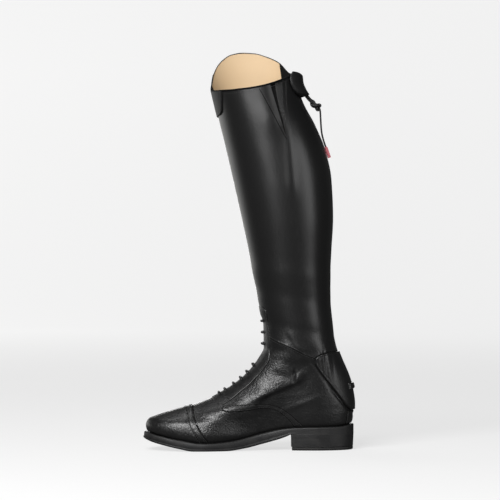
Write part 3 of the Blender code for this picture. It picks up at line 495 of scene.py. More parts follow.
def makeGroups():
    sizes = {"Pebble": 1100.0, "Mottle": 230.0, "Pull": 55.0}
    group, given, out = newGroup("leatherGrain", sizes, ("Height", "Patch"))
    point = objectPoint(group)
    pebble = cellsAt(group, point, given["Pebble"])
    fine = noiseAt(group, point, maths(group, "MULTIPLY", given["Pebble"], 2.4), 3.0, 0.6)
    mottle = noiseAt(group, point, given["Mottle"], 3.0, 0.55)
    pull = noiseAt(group, point, given["Pull"], 2.0, 0.5)
    axes = axesOf(group, point)
    foot = spread(group, axes["Z"], 0.10, 0.18, 1.0, 0.10)  # the shaft is smoother than the foot
    toe = spread(group, axes["X"], 0.03, 0.06, 1.0, 0.45)  # and the heel end a little smoother
    foot = maths(group, "MULTIPLY", foot, toe)
    coarse = maths(group, "MULTIPLY", addUp(group, (mottle, 2.4), (pull, 1.4)), foot)
    feed(group, out["Height"], maths(group, "ADD", addUp(group, (pebble, 0.22), (fine, 0.12)), coarse))
    patch = spread(group, addUp(group, (mottle, 0.5), (pull, 0.5)), 0.36, 0.64, -0.5, 0.5)
    feed(group, out["Patch"], maths(group, "ADD", maths(group, "MULTIPLY", patch, foot), 0.5))

    group, given, out = newGroup("rubberSpeckle", {"Speck": 1500.0, "Cloud": 90.0}, ("Height", "Dust"))
    point = objectPoint(group)
    speck = noiseAt(group, point, given["Speck"], 2.0, 0.6)
    cloud = noiseAt(group, point, given["Cloud"], 3.0, 0.55)
    feed(group, out["Height"], addUp(group, (speck, 0.7), (cloud, 0.5)))
    feed(group, out["Dust"], spread(group, cloud, 0.42, 0.72, 0.0, 1.0))

    sizes = {"Across": 2200.0, "Along": 2200.0, "Relief": 0.5}
    group, given, out = newGroup("clothWeave", sizes, ("Height", "WeaveShade"))
    axes = axesOf(group, objectPoint(group))
    level = maths(group, "SINE", maths(group, "MULTIPLY", axes["Z"], given["Along"]))
    flat = maths(group, "ADD", axes["X"], axes["Y"])
    upright = maths(group, "SINE", maths(group, "MULTIPLY", flat, given["Across"]))
    woven = maths(group, "MULTIPLY", level, upright)
    feed(group, out["Height"], maths(group, "MULTIPLY", woven, given["Relief"]))
    # the weave also sets the colour: darker in its hollows, painted shade
    feed(group, out["WeaveShade"], spread(group, woven, -1.0, 1.0, 0.0, 1.0))

    group, given, out = newGroup("treadBars", {"Pitch": 900.0, "Lean": 0.5}, ("Height", "GrooveShade"))
    axes = axesOf(group, objectPoint(group))
    sideways = maths(group, "ABSOLUTE", axes["Y"])
    slant = maths(group, "ADD", axes["X"], maths(group, "MULTIPLY", sideways, given["Lean"]))
    bars = spread(group, maths(group, "SINE", maths(group, "MULTIPLY", slant, given["Pitch"])), -0.75, -0.2, 0.0, 1.0)
    feed(group, out["Height"], bars)
    # the bars also set the colour: darker in the grooves, painted shade
    feed(group, out["GrooveShade"], bars)

    group, given, out = newGroup("cordTwist", {"Strands": 4.0, "Pitch": 1.6}, ("Height", "GrooveShade"))
    axes = axesOf(group, group.nodes.new("ShaderNodeTexCoord").outputs["UV"])
    run = maths(group, "MULTIPLY", axes["X"], given["Pitch"])
    turn = maths(group, "MULTIPLY", axes["Y"], given["Strands"])
    one = maths(group, "SINE", maths(group, "MULTIPLY", maths(group, "ADD", turn, run), 2.0 * math.pi))
    two = maths(group, "SINE", maths(group, "MULTIPLY", maths(group, "SUBTRACT", turn, run), 2.0 * math.pi))
    braid = maths(group, "MAXIMUM", one, two)
    feed(group, out["Height"], braid)
    # the braid also sets the colour: darker between the strands, painted shade
    feed(group, out["GrooveShade"], spread(group, braid, -0.4, 0.9, 0.0, 1.0))


makeGroups()
makeCamera()
makeLights()
bpy.context.scene.view_settings.view_transform = "Standard"
print("camera and lights are set")


def placeGroup(tree, name, values):
    made = tree.nodes.new("ShaderNodeGroup")
    made.node_tree = bpy.data.node_groups[name]
    for title, value in values.items():
        made.inputs[title].default_value = value
    return made.outputs


def newFinish(name, plain):  # plain numbers go on the shader's own sockets
    material = bpy.data.materials.new(name)
    material.use_nodes = True
    tree = material.node_tree
    shader = tree.nodes["Principled BSDF"]
    for title, value in plain.items():
        shader.inputs[title].default_value = value
    return material, tree, shader


def bumpInto(tree, shader, height, distance, strength):
    made = tree.nodes.new("ShaderNodeBump")
    made.inputs["Strength"].default_value = strength
    made.inputs["Distance"].default_value = distance
    tree.links.new(height, made.inputs["Height"])
    tree.links.new(made.outputs["Normal"], shader.inputs["Normal"])


def surfaceFinish(name, values):  # one recipe: group, two colours, two roughnesses and a bump
    material, tree, shader = newFinish(name, values["plain"])
    height, mask = placeGroup(tree, values["group"], values["sizes"])
    tree.links.new(blendColours(tree, mask, *values["colours"]), shader.inputs["Base Color"])
    tree.links.new(spread(tree, mask, 0.0, 1.0, *values["roughness"]), shader.inputs["Roughness"])
    bumpInto(tree, shader, height, *values["bump"])
    return material


finishValues = {
    "blackLeather": {"group": "leatherGrain", "sizes": {"Pebble": 1100.0, "Mottle": 430.0, "Pull": 70.0},
                     "colours": ((0.0066, 0.0066, 0.0068), (0.0080, 0.0079, 0.0079)), "roughness": (0.28, 0.36),
                     "bump": (0.00045, 0.6),
                     "plain": {"Coat Weight": 0.08, "Coat Roughness": 0.28, "Specular IOR Level": 0.50}},
    "overlayLeather": {"group": "leatherGrain", "sizes": {"Pebble": 1250.0, "Mottle": 400.0, "Pull": 70.0},
                       "colours": ((0.0064, 0.0064, 0.0066), (0.0078, 0.0077, 0.0076)), "roughness": (0.30, 0.40),
                       "bump": (0.00036, 0.55),
                       "plain": {"Coat Weight": 0.06, "Coat Roughness": 0.3, "Specular IOR Level": 0.50}},
    "softLeather": {"group": "leatherGrain", "sizes": {"Pebble": 900.0, "Mottle": 300.0, "Pull": 80.0},
                    "colours": ((0.0068, 0.0068, 0.0070), (0.0095, 0.0094, 0.0094)), "roughness": (0.46, 0.56),
                    "bump": (0.00030, 0.6), "plain": {"Specular IOR Level": 0.37}},
    "liningLeather": {"group": "leatherGrain", "sizes": {"Pebble": 1400.0, "Mottle": 260.0, "Pull": 46.0},
                      "colours": ((0.58, 0.413, 0.238), (0.634, 0.468, 0.292)), "roughness": (0.62, 0.74),
                      "bump": (0.00022, 0.5), "plain": {"Specular IOR Level": 0.55}},
    "moulded": {"group": "rubberSpeckle", "sizes": {"Speck": 1700.0, "Cloud": 80.0},
                "colours": ((0.008, 0.008, 0.0084), (0.0145, 0.0141, 0.0138)), "roughness": (0.52, 0.66),
                "bump": (0.00022, 0.4), "plain": {"Specular IOR Level": 0.46}},
    "heelStack": {"group": "rubberSpeckle", "sizes": {"Speck": 1400.0, "Cloud": 60.0},
                  "colours": ((0.009, 0.009, 0.0094), (0.0145, 0.0141, 0.0138)), "roughness": (0.46, 0.6),
                  "bump": (0.00020, 0.4), "plain": {"Specular IOR Level": 0.50}},
    "treadRubber": {"group": "treadBars", "sizes": {"Pitch": 900.0, "Lean": 0.5},
                    "colours": ((0.008, 0.008, 0.008), (0.02, 0.0195, 0.019)), "roughness": (0.6, 0.72),
                    "bump": (0.0012, 0.8), "plain": {"Specular IOR Level": 0.55}},
    "liftRubber": {"group": "rubberSpeckle", "sizes": {"Speck": 1100.0, "Cloud": 110.0},
                   "colours": ((0.011, 0.011, 0.011), (0.019, 0.0185, 0.018)), "roughness": (0.6, 0.76),
                   "bump": (0.00025, 0.5), "plain": {"Specular IOR Level": 0.46}},
    "elasticRibs": {"group": "clothWeave", "sizes": {"Across": 4200.0, "Along": 1500.0, "Relief": 0.8},
                    "colours": ((0.005, 0.005, 0.0052), (0.012, 0.0118, 0.0116)), "roughness": (0.6, 0.72),
                    "bump": (0.00030, 0.7), "plain": {"Specular IOR Level": 0.46, "Sheen Weight": 0.05}},
    "deepShade": {"group": "rubberSpeckle", "sizes": {"Speck": 1500.0, "Cloud": 200.0},
                  "colours": ((0.002, 0.002, 0.002), (0.004, 0.004, 0.004)), "roughness": (0.9, 0.95),
                  "bump": (0.0001, 0.3), "plain": {"Specular IOR Level": 0.19}},
    "zipWeave": {"group": "clothWeave", "sizes": {"Across": 5200.0, "Along": 5200.0, "Relief": 0.6},
                 "colours": ((0.012, 0.011, 0.0105), (0.03, 0.026, 0.023)), "roughness": (0.72, 0.86),
                 "bump": (0.00025, 0.7), "plain": {"Specular IOR Level": 0.55}},
    "tagWeave": {"group": "clothWeave", "sizes": {"Across": 6000.0, "Along": 6000.0, "Relief": 0.6},
                 "colours": ((0.42, 0.075, 0.10), (0.62, 0.20, 0.225)), "roughness": (0.74, 0.86),
                 "bump": (0.00022, 0.7), "plain": {"Specular IOR Level": 0.55, "Sheen Weight": 0.25}},
    "braidedCord": {"group": "cordTwist", "sizes": {"Strands": 4.0, "Pitch": 0.55},
                    "colours": ((0.005, 0.005, 0.005), (0.016, 0.0158, 0.0156)), "roughness": (0.62, 0.46),
                    "bump": (0.00030, 0.8), "plain": {"Specular IOR Level": 0.46}},
    "seamThread": {"group": "leatherGrain", "sizes": {"Pebble": 3000.0, "Mottle": 900.0, "Pull": 200.0},
                   "colours": ((0.010, 0.010, 0.0102), (0.018, 0.0178, 0.0176)), "roughness": (0.4, 0.55),
                   "bump": (0.00012, 0.6), "plain": {"Specular IOR Level": 0.55}},
    "darkMetal": {"group": "rubberSpeckle", "sizes": {"Speck": 900.0, "Cloud": 240.0},
                  "colours": ((0.03, 0.03, 0.031), (0.06, 0.058, 0.056)), "roughness": (0.26, 0.42),
                  "bump": (0.00008, 0.4), "plain": {"Metallic": 0.85}},
    "zipTeeth": {"group": "rubberSpeckle", "sizes": {"Speck": 1200.0, "Cloud": 300.0},
                 "colours": ((0.03, 0.025, 0.021), (0.06, 0.05, 0.042)), "roughness": (0.34, 0.48),
                 "bump": (0.00008, 0.4), "plain": {"Specular IOR Level": 0.5}},
}
finish = {name: surfaceFinish(name, values) for name, values in finishValues.items()}
print("finishes are ready:", len(finish))


def addPiece(name, points, faces, finishes, stands=(), choice=None, uvs=None, sharp=40.0, weld=False):
    mesh = bpy.data.meshes.new(name)
    faces = [tuple(f) for f in faces]
    mesh.from_pydata([tuple(p) for p in np.asarray(points, float).reshape(-1, 3) * mm], [], faces)
    for one in finishes:
        mesh.materials.append(finish[one])
    if choice is not None:
        mesh.polygons.foreach_set("material_index", np.asarray(choice, np.int32))
    if uvs is not None:
        layer = mesh.uv_layers.new(name="run")
        layer.data.foreach_set("uv", np.asarray(uvs, np.float32)[[k for f in faces for k in f]].ravel())
    item = bpy.data.objects.new(name, mesh)
    bpy.context.scene.collection.objects.link(item)
    if weld:
        rework(mesh, weldPoints)
    mesh.shade_smooth()
    mesh.set_sharp_from_angle(angle=math.radians(sharp))
    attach(item, "root")
    if stands:
        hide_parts(*stands)
    return item


def rework(mesh, step):  # runs one of the next three on a mesh
    data = bmesh.new()
    data.from_mesh(mesh)
    step(data)
    data.to_mesh(mesh)
    data.free()


def weldPoints(data, near=0.00002):
    bmesh.ops.remove_doubles(data, verts=data.verts, dist=near)


def turnOut(data):  # closed sheets and solids
    bmesh.ops.recalc_face_normals(data, faces=data.faces)


def faceAway(data):  # open sheets face away from the boot's middle line
    wrong = [f for f in data.faces if f.normal.y * f.calc_center_median().y < 0.0]
    if len(wrong) * 2 > len(data.faces):
        bmesh.ops.reverse_faces(data, faces=data.faces)


def gridFaces(rows, columns, start=0, closed=False):
    i, j = np.meshgrid(np.arange(rows - 1), np.arange(columns if closed else columns - 1), indexing="ij")
    after = (j + 1) % columns
    corners = (i * columns + j, i * columns + after, (i + 1) * columns + after, (i + 1) * columns + j)
    return np.stack(corners, axis=-1).reshape(-1, 4) + start


def barrelFaces(rows, columns, start=0):  # rings of points with both ends filled
    faces = [tuple(f) for f in gridFaces(rows, columns, start, True)]
    last = start + (rows - 1) * columns
    return faces + [tuple(range(start + columns - 1, start - 1, -1)), tuple(range(last, last + columns))]


def joinGrids(grids):  # several point grids as one list of points and faces
    points, faces, start = [], [], 0
    for grid in grids:
        points.append(grid.reshape(-1, 3))
        faces.append(gridFaces(grid.shape[0], grid.shape[1], start))
        start += grid.shape[0] * grid.shape[1]
    return np.vstack(points), np.vstack(faces)


def edgeDistance(points, edge):
    flat = points.reshape(-1, 3)
    found = np.empty(len(flat))
    batch = 1500
    for k in range(0, len(flat), batch):
        found[k:k + batch] = np.linalg.norm(flat[k:k + batch, None] - edge[None], axis=2).min(axis=1)
    return found.reshape(points.shape[:-1])


def tubeGrid(path, radius, sides, roundEnds):  # rings of a tube, and its run and turn as map places
    path = np.asarray(path, float)
    ahead = np.gradient(path, axis=0)
    ahead /= np.linalg.norm(ahead, axis=1, keepdims=True)
    up = np.array((0.0, 0.0, 1.0)) if abs(ahead[0][2]) < 0.9 else np.array((0.0, 1.0, 0.0))
    wides, highs = [], []
    for t in ahead:
        wide = np.cross(t, up)
        wide /= np.linalg.norm(wide)
        up = np.cross(wide, t)
        wides.append(wide)
        highs.append(up)
    wides, highs = np.array(wides), np.array(highs)
    radii = np.full(len(path), float(radius))
    shift = np.zeros(len(path))
    if roundEnds:
        tip = np.linspace(0.08, math.pi / 2.0, 5)
        bulge, reach = np.sin(tip), np.cos(tip) * radius
        order = [0] * len(tip) + list(range(1, len(path) - 1)) + [len(path) - 1] * len(tip)
        radii = np.concatenate((bulge * radius, radii[1:-1], bulge[::-1] * radius))
        shift = np.concatenate((-reach, np.zeros(len(path) - 2), reach[::-1]))
        path, ahead, wides, highs = path[order], ahead[order], wides[order], highs[order]
    turn = np.linspace(0.0, 2.0 * math.pi, sides, endpoint=False)
    ring = wides[:, None] * np.cos(turn)[None, :, None] + highs[:, None] * np.sin(turn)[None, :, None]
    centre = path + ahead * shift[:, None]
    uvs = np.stack(np.broadcast_arrays(runAlong(centre)[:, None], (turn / (2.0 * math.pi))[None]), axis=-1)
    return centre[:, None] + ring * radii[:, None, None], uvs


def tubePiece(paths, radius, sides, roundEnds=True):  # points, faces and map places of several tubes
    points, faces, uvs, start = [], [], [], 0
    for path in paths:
        grid, places = tubeGrid(path, radius, sides, roundEnds)
        points.append(grid.reshape(-1, 3))
        uvs.append(places.reshape(-1, 2))
        faces += barrelFaces(len(grid), sides, start)
        start += len(grid) * sides
    return np.vstack(points), faces, np.vstack(uvs)


pullCord = {
    "diameter": 2.3,
    "upper": ((71.4, 0.0, 460.6), (74.2, -0.3, 456.4), (78.0, -0.6, 452.0), (81.2, -0.8, 449.4)),
    "knotCentre": (85.4, -1.0, 446.0),
    "knotSize": (7.4, 5.0, 6.2),
    "knotStrand": 0.78,  # radius of its strands as a share of the cord's diameter
    "knotLobe": ((87.6, -1.0, 446.6), (90.4, -1.4, 447.2), (92.0, -1.8, 446.0), (90.6, -2.0, 444.6)),
    "secondStrand": (1.2, 1.1, 1.9),  # beside the upper run
    "tail": ((90.4, -1.2, 443.2), (91.8, -1.3, 438.6), (92.3, -1.4, 431.0), (92.9, -1.4, 420.0),
             (94.0, -1.3, 409.5), (96.4, -1.2, 400.0), (98.8, -1.1, 393.0)),
    "tagSize": (4.4, 1.5, 15.5),
}


def makePullCord():
    route = [*pullCord["upper"], pullCord["knotCentre"], *pullCord["tail"]]
    path = smoothPath(route, 40)
    points, faces, uvs = tubePiece([path], pullCord["diameter"] / 2.0, 12)
    stands = ("zip_cord_upper", "zip_cord_tail")
    cord = addPiece("pullCord", points, faces, ["braidedCord"], stands, uvs=uvs)
    turn = np.linspace(0.0, 2.0 * math.pi, 90)
    size = np.array(pullCord["knotSize"])
    trefoil = np.stack((np.sin(turn) + 2.0 * np.sin(2.0 * turn), np.cos(turn) - 2.0 * np.cos(2.0 * turn),
                        -1.2 * np.sin(3.0 * turn)), axis=1) / 3.0
    lean = np.array(((0.75, 0.0, 0.66), (0.0, 1.0, 0.0), (-0.66, 0.0, 0.75)))
    loop = (trefoil * size) @ lean.T + np.array(pullCord["knotCentre"])
    beside = [np.array(p) + np.array(pullCord["secondStrand"]) for p in pullCord["upper"]]
    second, lobe = smoothPath(beside + [pullCord["knotCentre"]], 16), smoothPath(pullCord["knotLobe"], 10)
    points, faces, uvs = tubePiece([loop[:-1], second, lobe], pullCord["diameter"] * pullCord["knotStrand"], 10)
    knot = addPiece("pullKnot", points, faces, ["braidedCord"], ("cord_knot",), uvs=uvs)
    tag = makeTag()


def boxy(value, power):  # sine or cosine of a round section, pushed out towards a box
    return math.copysign(abs(value) ** power, value)


def makeTag():  # folded woven tag, plain
    end = np.array(pullCord["tail"][-1])
    ahead = end - np.array(pullCord["tail"][-2])
    ahead /= np.linalg.norm(ahead)
    wide = np.array((-ahead[2], 0.0, ahead[0]))
    size = np.array(pullCord["tagSize"])
    rows, columns = 17, 22
    grid = np.zeros((rows, columns, 3))
    for i, s in enumerate(np.linspace(0.0, 1.0, rows)):
        pinch = 1.0 - 0.38 * math.exp(-(s / 0.10) ** 2)
        thick = size[1] / 2.0 * (0.75 + 0.35 * math.exp(-(s / 0.14) ** 2))
        close = math.sqrt(max(0.02, 1.0 - max(0.0, (s - 0.9) / 0.1) ** 2))
        sway = 0.35 * math.sin(3.0 * s)
        for j, turn in enumerate(np.linspace(0.0, 2.0 * math.pi, columns, endpoint=False)):
            a = boxy(math.cos(turn), 0.45) * size[0] / 2.0 * pinch
            b = boxy(math.sin(turn), 0.45) * thick * close + sway
            grid[i, j] = end + ahead * (0.2 + s * size[2]) + wide * a + np.array((0.0, b, 0.0))
    faces = [tuple(f) for f in gridFaces(rows, columns, 0, True)]
    faces += [tuple(range(columns)), tuple(range(rows * columns - 1, (rows - 1) * columns - 1, -1))]
    return addPiece("pullTag", grid, faces, ["tagWeave"], ("cord_tab",), sharp=50.0)


makePullCord()


def makeFloor():  # pale round floor that sweeps up into a wall
    flat, radius, top = studio["sweep"]
    profile = [(r, 0.0) for r in (0.4, 0.8, 1.4, 2.2, 3.2, flat)]
    for turn in np.linspace(0.0, math.pi / 2.0, 20)[1:]:
        profile.append((flat + radius * math.sin(turn), radius - radius * math.cos(turn)))
    profile.append((flat + radius, top))
    sides = 96
    around = np.linspace(0.0, 2.0 * math.pi, sides, endpoint=False)
    points = [(r * math.cos(a), r * math.sin(a), z - 0.0002) for r, z in profile for a in around]
    faces = [tuple(f[::-1]) for f in gridFaces(len(profile), sides, 0, True)] + [tuple(range(sides))]
    material, tree, shader = newFinish("paleSweep", {"Roughness": 0.85, "Specular IOR Level": 0.1})
    colour = studio["floorColour"]
    point = objectPoint(tree)
    cloud = noiseAt(tree, point, 3.0)
    seen = tree.nodes.new("ShaderNodeLightPath").outputs["Is Camera Ray"]
    pale = blendColours(tree, cloud, colour, [c * 0.99 for c in colour])
    tree.links.new(blendColours(tree, seen, studio["dimColour"], pale), shader.inputs["Base Color"])
    away = tree.nodes.new("ShaderNodeVectorMath")
    away.operation = "LENGTH"
    tree.links.new(point, away.inputs[0])
    distance = spread(tree, away.outputs["Value"], *studio["glowRun"], 0.0, 1.0)
    glow = blendColours(tree, distance, studio["floorGlow"], studio["backGlow"])
    behind = behindShare(tree, point, *studio["sweepBehind"])
    reflected = blendColours(tree, behind, studio["floorDim"], studio["backLight"])
    tree.links.new(blendColours(tree, seen, reflected, glow), shader.inputs["Emission Color"])
    shader.inputs["Emission Strength"].default_value = 1.0
    mesh = bpy.data.meshes.new("paleSweep")
    mesh.from_pydata(points, [], faces)
    mesh.materials.append(material)
    mesh.shade_smooth()
    item = bpy.data.objects.new("paleSweep", mesh)
    bpy.context.scene.collection.objects.link(item)
    unlit = bpy.data.collections.new("floorUnlit")
    unlit.objects.link(item)
    unlit.collection_objects[0].light_linking.link_state = "EXCLUDE"
    for name in studio["offFloor"]:
        bpy.data.objects[name].light_linking.receiver_collection = unlit


makeFloor()

upperValues = {
    "sideSteps": 128,
    "rings": ((33.8, 92.0, 36), (92.0, 116.0, 16), (116.0, 136.0, 13), (136.0, 172.0, 18),
              (172.0, 432.0, 58), (432.0, 470.6, 14)),
    "edgeRings": (471.4, 471.75, 472.0),
    "sink": 0.7,  # the lower edge goes into the sole's top
    "paring": (460.0, 11.0, 0.6),  # the wall gets thinner from this ring on, over this run, by this share
    "facingInside": 17.2,  # black strip inside, beside the zip
    "notch": ((23.4, 530.0), (24.0, 477.0), (28.7, 462.4), (36.8, 435.8), (42.0, 418.6), (46.7, 403.2),
              (46.2, 424.6), (42.8, 446.4), (41.6, 482.0), (41.6, 530.0)),
}


def ringPlaces():
    rings = [np.linspace(a, b, n, endpoint=False) for a, b, n in upperValues["rings"]]
    return np.concatenate((*rings, [upperValues["rings"][-1][1]], upperValues["edgeRings"]))


def upperAngles(rings):  # columns follow the zip's slot and the throat's edges
    steps = upperValues["sideSteps"]
    first = edgeAngle(rings, boot["zipHalf"], False)
    last = edgeAngle(rings, throughPoints(boot["throat"], rings), True)
    share = np.linspace(0.0, 1.0, steps + 1)
    side = first[:, None] + (last - first)[:, None] * share[None]
    back, front = np.zeros((len(rings), 1)), np.full((len(rings), 1), math.pi)
    return np.concatenate((back, side, front, 2.0 * math.pi - side[:, ::-1]), axis=1)


def wallAt(ring):  # the wall is pared down towards the topline
    start, run, share = upperValues["paring"]
    return boot["wall"] * (1.0 - share * np.clip((ring - start) / run, 0.0, 1.0))


def makeUpper():
    rings = ringPlaces()
    phi = upperAngles(rings)
    rows, columns = phi.shape
    ring = np.repeat(rings[:, None], columns, axis=1)
    outer, inner = shell(ring, phi), shell(ring, phi, -wallAt(ring))
    for side in (outer, inner):
        side[0, :, 2] -= upperValues["sink"]
    filled = np.ones((rows - 1, columns), bool)
    zipFrom = int(np.argmin(abs(rings - boot["zipBottom"])))
    filled[zipFrom:, [0, columns - 1]] = False
    low, high = (int(np.argmin(abs(rings - boot[key]))) for key in ("throatBottom", "throatTop"))
    front = upperValues["sideSteps"] + 2
    filled[low:high, [front - 1, front]] = False
    quads = gridFaces(rows, columns, 0, True).reshape(rows - 1, columns, 4)
    shift = rows * columns
    rim = rimFaces(filled, columns, shift)
    lined = np.repeat((rings[:-1] < upperValues["edgeRings"][0])[:, None], columns, axis=1)
    faces = np.vstack((quads[filled], quads[filled][:, ::-1] + shift, rim))
    choice = np.concatenate((np.zeros(int(filled.sum())), lined[filled], np.zeros(len(rim))))
    points = np.vstack((outer.reshape(-1, 3), inner.reshape(-1, 3)))
    finishes = ["blackLeather", "liningLeather"]
    item = addPiece("upperLeather", points, faces, finishes, ("upper",), choice)
    cutNotch(item)
    makeInsideFacing()
    print("upper has", len(item.data.polygons), "faces")


def makeInsideFacing():  # black strip inside, on both sides of the zip: its own black, darkened with the dark shade finish as painted shade
    rings, columns, grids = np.linspace(150.0, 471.8, 110), 12, []
    for sign in (1.0, -1.0):
        start = edgeAngle(rings, boot["zipHalf"] + 0.2, False)
        level = levelOf(rings, sign * start)
        for _ in range(4):
            wide = upperValues["facingInside"] + 0.1 * np.maximum(0.0, level - 486.0)
            end = angleAt(level, look("backX", level) - wide)
            level = levelOf(rings, sign * end)
        phi = sign * (start[:, None] + (end - start)[:, None] * np.linspace(0.0, 1.0, columns)[None])
        ring = np.repeat(rings[:, None], columns, axis=1)
        made = shell(ring, phi, -wallAt(ring) - 0.12)
        grids.append(made if sign < 0.0 else made[:, ::-1])
    points, faces = joinGrids(grids)
    addPiece("zipFacingLeather", points, faces, ["deepShade"])


def rimFaces(filled, columns, shift):  # strips that close the wall along every open edge
    padded = np.vstack((np.zeros((1, columns), bool), filled, np.zeros((1, columns), bool)))
    found = []
    for i, j in np.argwhere(padded[:-1] != padded[1:]):
        a, b = i * columns + j, i * columns + (j + 1) % columns
        found.append((a, b, b + shift, a + shift) if padded[i, j] else (b, a, a + shift, b + shift))
    before = np.roll(filled, 1, axis=1)
    for i, j in np.argwhere(filled != before):
        a, b = i * columns + j, (i + 1) * columns + j
        found.append((a, b, b + shift, a + shift) if filled[i, j] else (b, a, a + shift, b + shift))
    return np.array(found)


def cutNotch(item):  # V notch of the inner side, where the elastic sits
    outline = upperValues["notch"]
    count = len(outline)
    points = [(x, y, z) for y in (-90.0, -10.0) for x, z in outline]
    faces = [tuple(range(count)), tuple(range(2 * count - 1, count - 1, -1))]
    faces += [(k, k + count, (k + 1) % count + count, (k + 1) % count) for k in range(count)]
    mesh = bpy.data.meshes.new("notchForm")
    mesh.from_pydata([tuple(np.array(p) * mm) for p in points], [], faces)
    form = bpy.data.objects.new("notchForm", mesh)
    bpy.context.scene.collection.objects.link(form)
    step = item.modifiers.new("notch", "BOOLEAN")
    step.operation, step.solver, step.object = "DIFFERENCE", "EXACT", form
    made = bpy.data.meshes.new_from_object(item.evaluated_get(bpy.context.evaluated_depsgraph_get()))
    item.modifiers.clear()
    item.data = made
    bpy.data.objects.remove(form)
    made.shade_smooth()
    made.set_sharp_from_angle(angle=math.radians(40.0))


makeUpper()

edgeSteps = np.array((0.0, 0.12, 0.35, 0.7, 1.1, 1.6, 2.2, 3.0, 4.2))


def gradedRun(total, middle, bothEnds=True):  # places along a run, close together at its ends
    scale = min(1.0, total / (edgeSteps[-1] * (2.8 if bothEnds else 1.7)))
    first = edgeSteps * scale
    last = total - first[::-1] if bothEnds else np.array([total])
    return np.concatenate((first, np.linspace(first[-1], last[0], middle + 2)[1:-1], last))


def gradedPlaces(fine, places, middle, bothEnds=True):
    run = runAlong(places)
    return np.interp(gradedRun(run[-1], middle, bothEnds), run, fine)


def phiRow(ring, start, end, middle, bothEnds=True):  # angles along a ring
    fine = np.linspace(start, end, 90)
    return gradedPlaces(fine, skinAt(ring, fine), middle, bothEnds)


def ringColumn(phi, start, end, middle):  # ring places above each other
    fine = np.linspace(start, end, 90)
    return gradedPlaces(fine, skinAt(fine, phi), middle)


def sideTrack(path, count, side=1.0):  # ring places and angles along a side-view path
    points = smoothPath(path, count)
    return fromSide(points[:, 0], points[:, 1], side)


def overlayPoints(grids, edges, values):  # patches that lie on the leather and roll down at their edges
    edge = np.vstack([evenly(skinAt(r, f), max(8, int(len(np.atleast_1d(r)) * 4))) for r, f in edges])
    made = []
    for ring, phi in grids:
        away = edgeDistance(skinAt(ring, phi), edge)
        share = np.clip(away / values["round"], 0.0, 1.0)
        lift = values["low"] + values["thick"] * np.sqrt(1.0 - (1.0 - share) ** 2)
        for place, depth, width in values.get("groovesAndShade", ()):
            lift = lift - depth * np.exp(-((away - place) / width) ** 2)
        made.append(shell(ring, phi, lift))
    return made


def addOverlay(name, grids, edges, values, stands):
    points, faces = joinGrids(overlayPoints(grids, edges, values))
    addPiece(name, points, faces, ["overlayLeather"], stands, weld=True, sharp=55.0)


def mirrored(grid):  # the same patch on the inner side
    return grid[0][:, ::-1], -grid[1][:, ::-1]


stitches = {"points": [], "faces": [], "start": 0, "count": 0}
threadValues = {"pitch": 3.0, "length": 2.3, "thick": 0.62}


def capsule(half, radius, sides=6):  # thread that bends down at its ends
    turn = np.linspace(0.0, 2.0 * math.pi, sides, endpoint=False)
    rows = ((-1.0, 0.25), (-0.82, 0.75), (-0.4, 1.0), (0.4, 1.0), (0.82, 0.75), (1.0, 0.25))
    grid = []
    for along, bulge in rows:
        wide, sag = radius * bulge, 0.5 * radius * along ** 2
        grid.append([(along * half, wide * math.cos(t), wide * math.sin(t) - sag) for t in turn])
    return np.array(grid).reshape(-1, 3), barrelFaces(len(rows), sides)


def threadPlaces(places):  # distances along a path, and where its threads lie and point
    run = runAlong(places)
    at = np.arange(threadValues["pitch"] / 2.0, run[-1], threadValues["pitch"])
    ahead = pickAlong(places, run, at + 0.2) - pickAlong(places, run, at - 0.2)
    return run, at, pickAlong(places, run, at), ahead


def placeThreads(store, centre, ahead, out, half, radius):
    ahead = ahead / np.linalg.norm(ahead, axis=1, keepdims=True)
    wide = np.cross(out, ahead)
    wide /= np.linalg.norm(wide, axis=1, keepdims=True)
    shape, faces = capsule(half, radius)
    axes = np.stack((ahead, wide, np.cross(ahead, wide)), axis=1)
    points = centre[:, None] + np.einsum("pk,nkc->npc", shape, axes)
    for n in range(len(centre)):
        shift = store["start"] + n * len(shape)
        store["faces"].extend(tuple(k + shift for k in f) for f in faces)
    store["points"].append(points.reshape(-1, 3))
    store["start"] += len(centre) * len(shape)
    store["count"] += len(centre)


def insetTrack(ring, phi, distance):  # path moved sideways on the leather, to the left of its run seen from outside
    ring, phi = np.asarray(ring, float), np.asarray(phi, float)
    along = np.gradient(skinAt(ring, phi), axis=0)
    along /= np.linalg.norm(along, axis=1, keepdims=True)
    shift = np.cross(normalAt(ring, phi), along) * np.reshape(distance, (-1, 1))
    up = (skinAt(ring + 0.2, phi) - skinAt(ring - 0.2, phi)) / 0.4
    around = (skinAt(ring, phi + 0.002) - skinAt(ring, phi - 0.002)) / 0.004
    a, b, c = np.sum(up * up, 1), np.sum(up * around, 1), np.sum(around * around, 1)
    r, s = np.sum(up * shift, 1), np.sum(around * shift, 1)
    whole = a * c - b * b
    return ring + (r * c - s * b) / whole, phi + (s * a - r * b) / whole


def sewAlong(ring, phi, inset, lift):  # threads along a path on the leather
    if inset:
        ring, phi = insetTrack(ring, phi, inset)
    run, at, centre, ahead = threadPlaces(shell(ring, phi, lift))
    if len(at):
        out = normalAt(np.interp(at, run, ring), np.interp(at, run, phi))
        placeThreads(stitches, centre, ahead, out, threadValues["length"] / 2.0, threadValues["thick"] / 2.0)


def sewFree(places, out):  # the same threads along a free path with its own outward directions
    run, at, centre, ahead = threadPlaces(places)
    out = pickAlong(out, run, at)
    placeThreads(stitches, centre, ahead, out, threadValues["length"] / 2.0, threadValues["thick"] / 2.0)


# dark strips that paint the shadow along seams, edges and gaps are gathered here
groovesAndShade = {"grids": []}


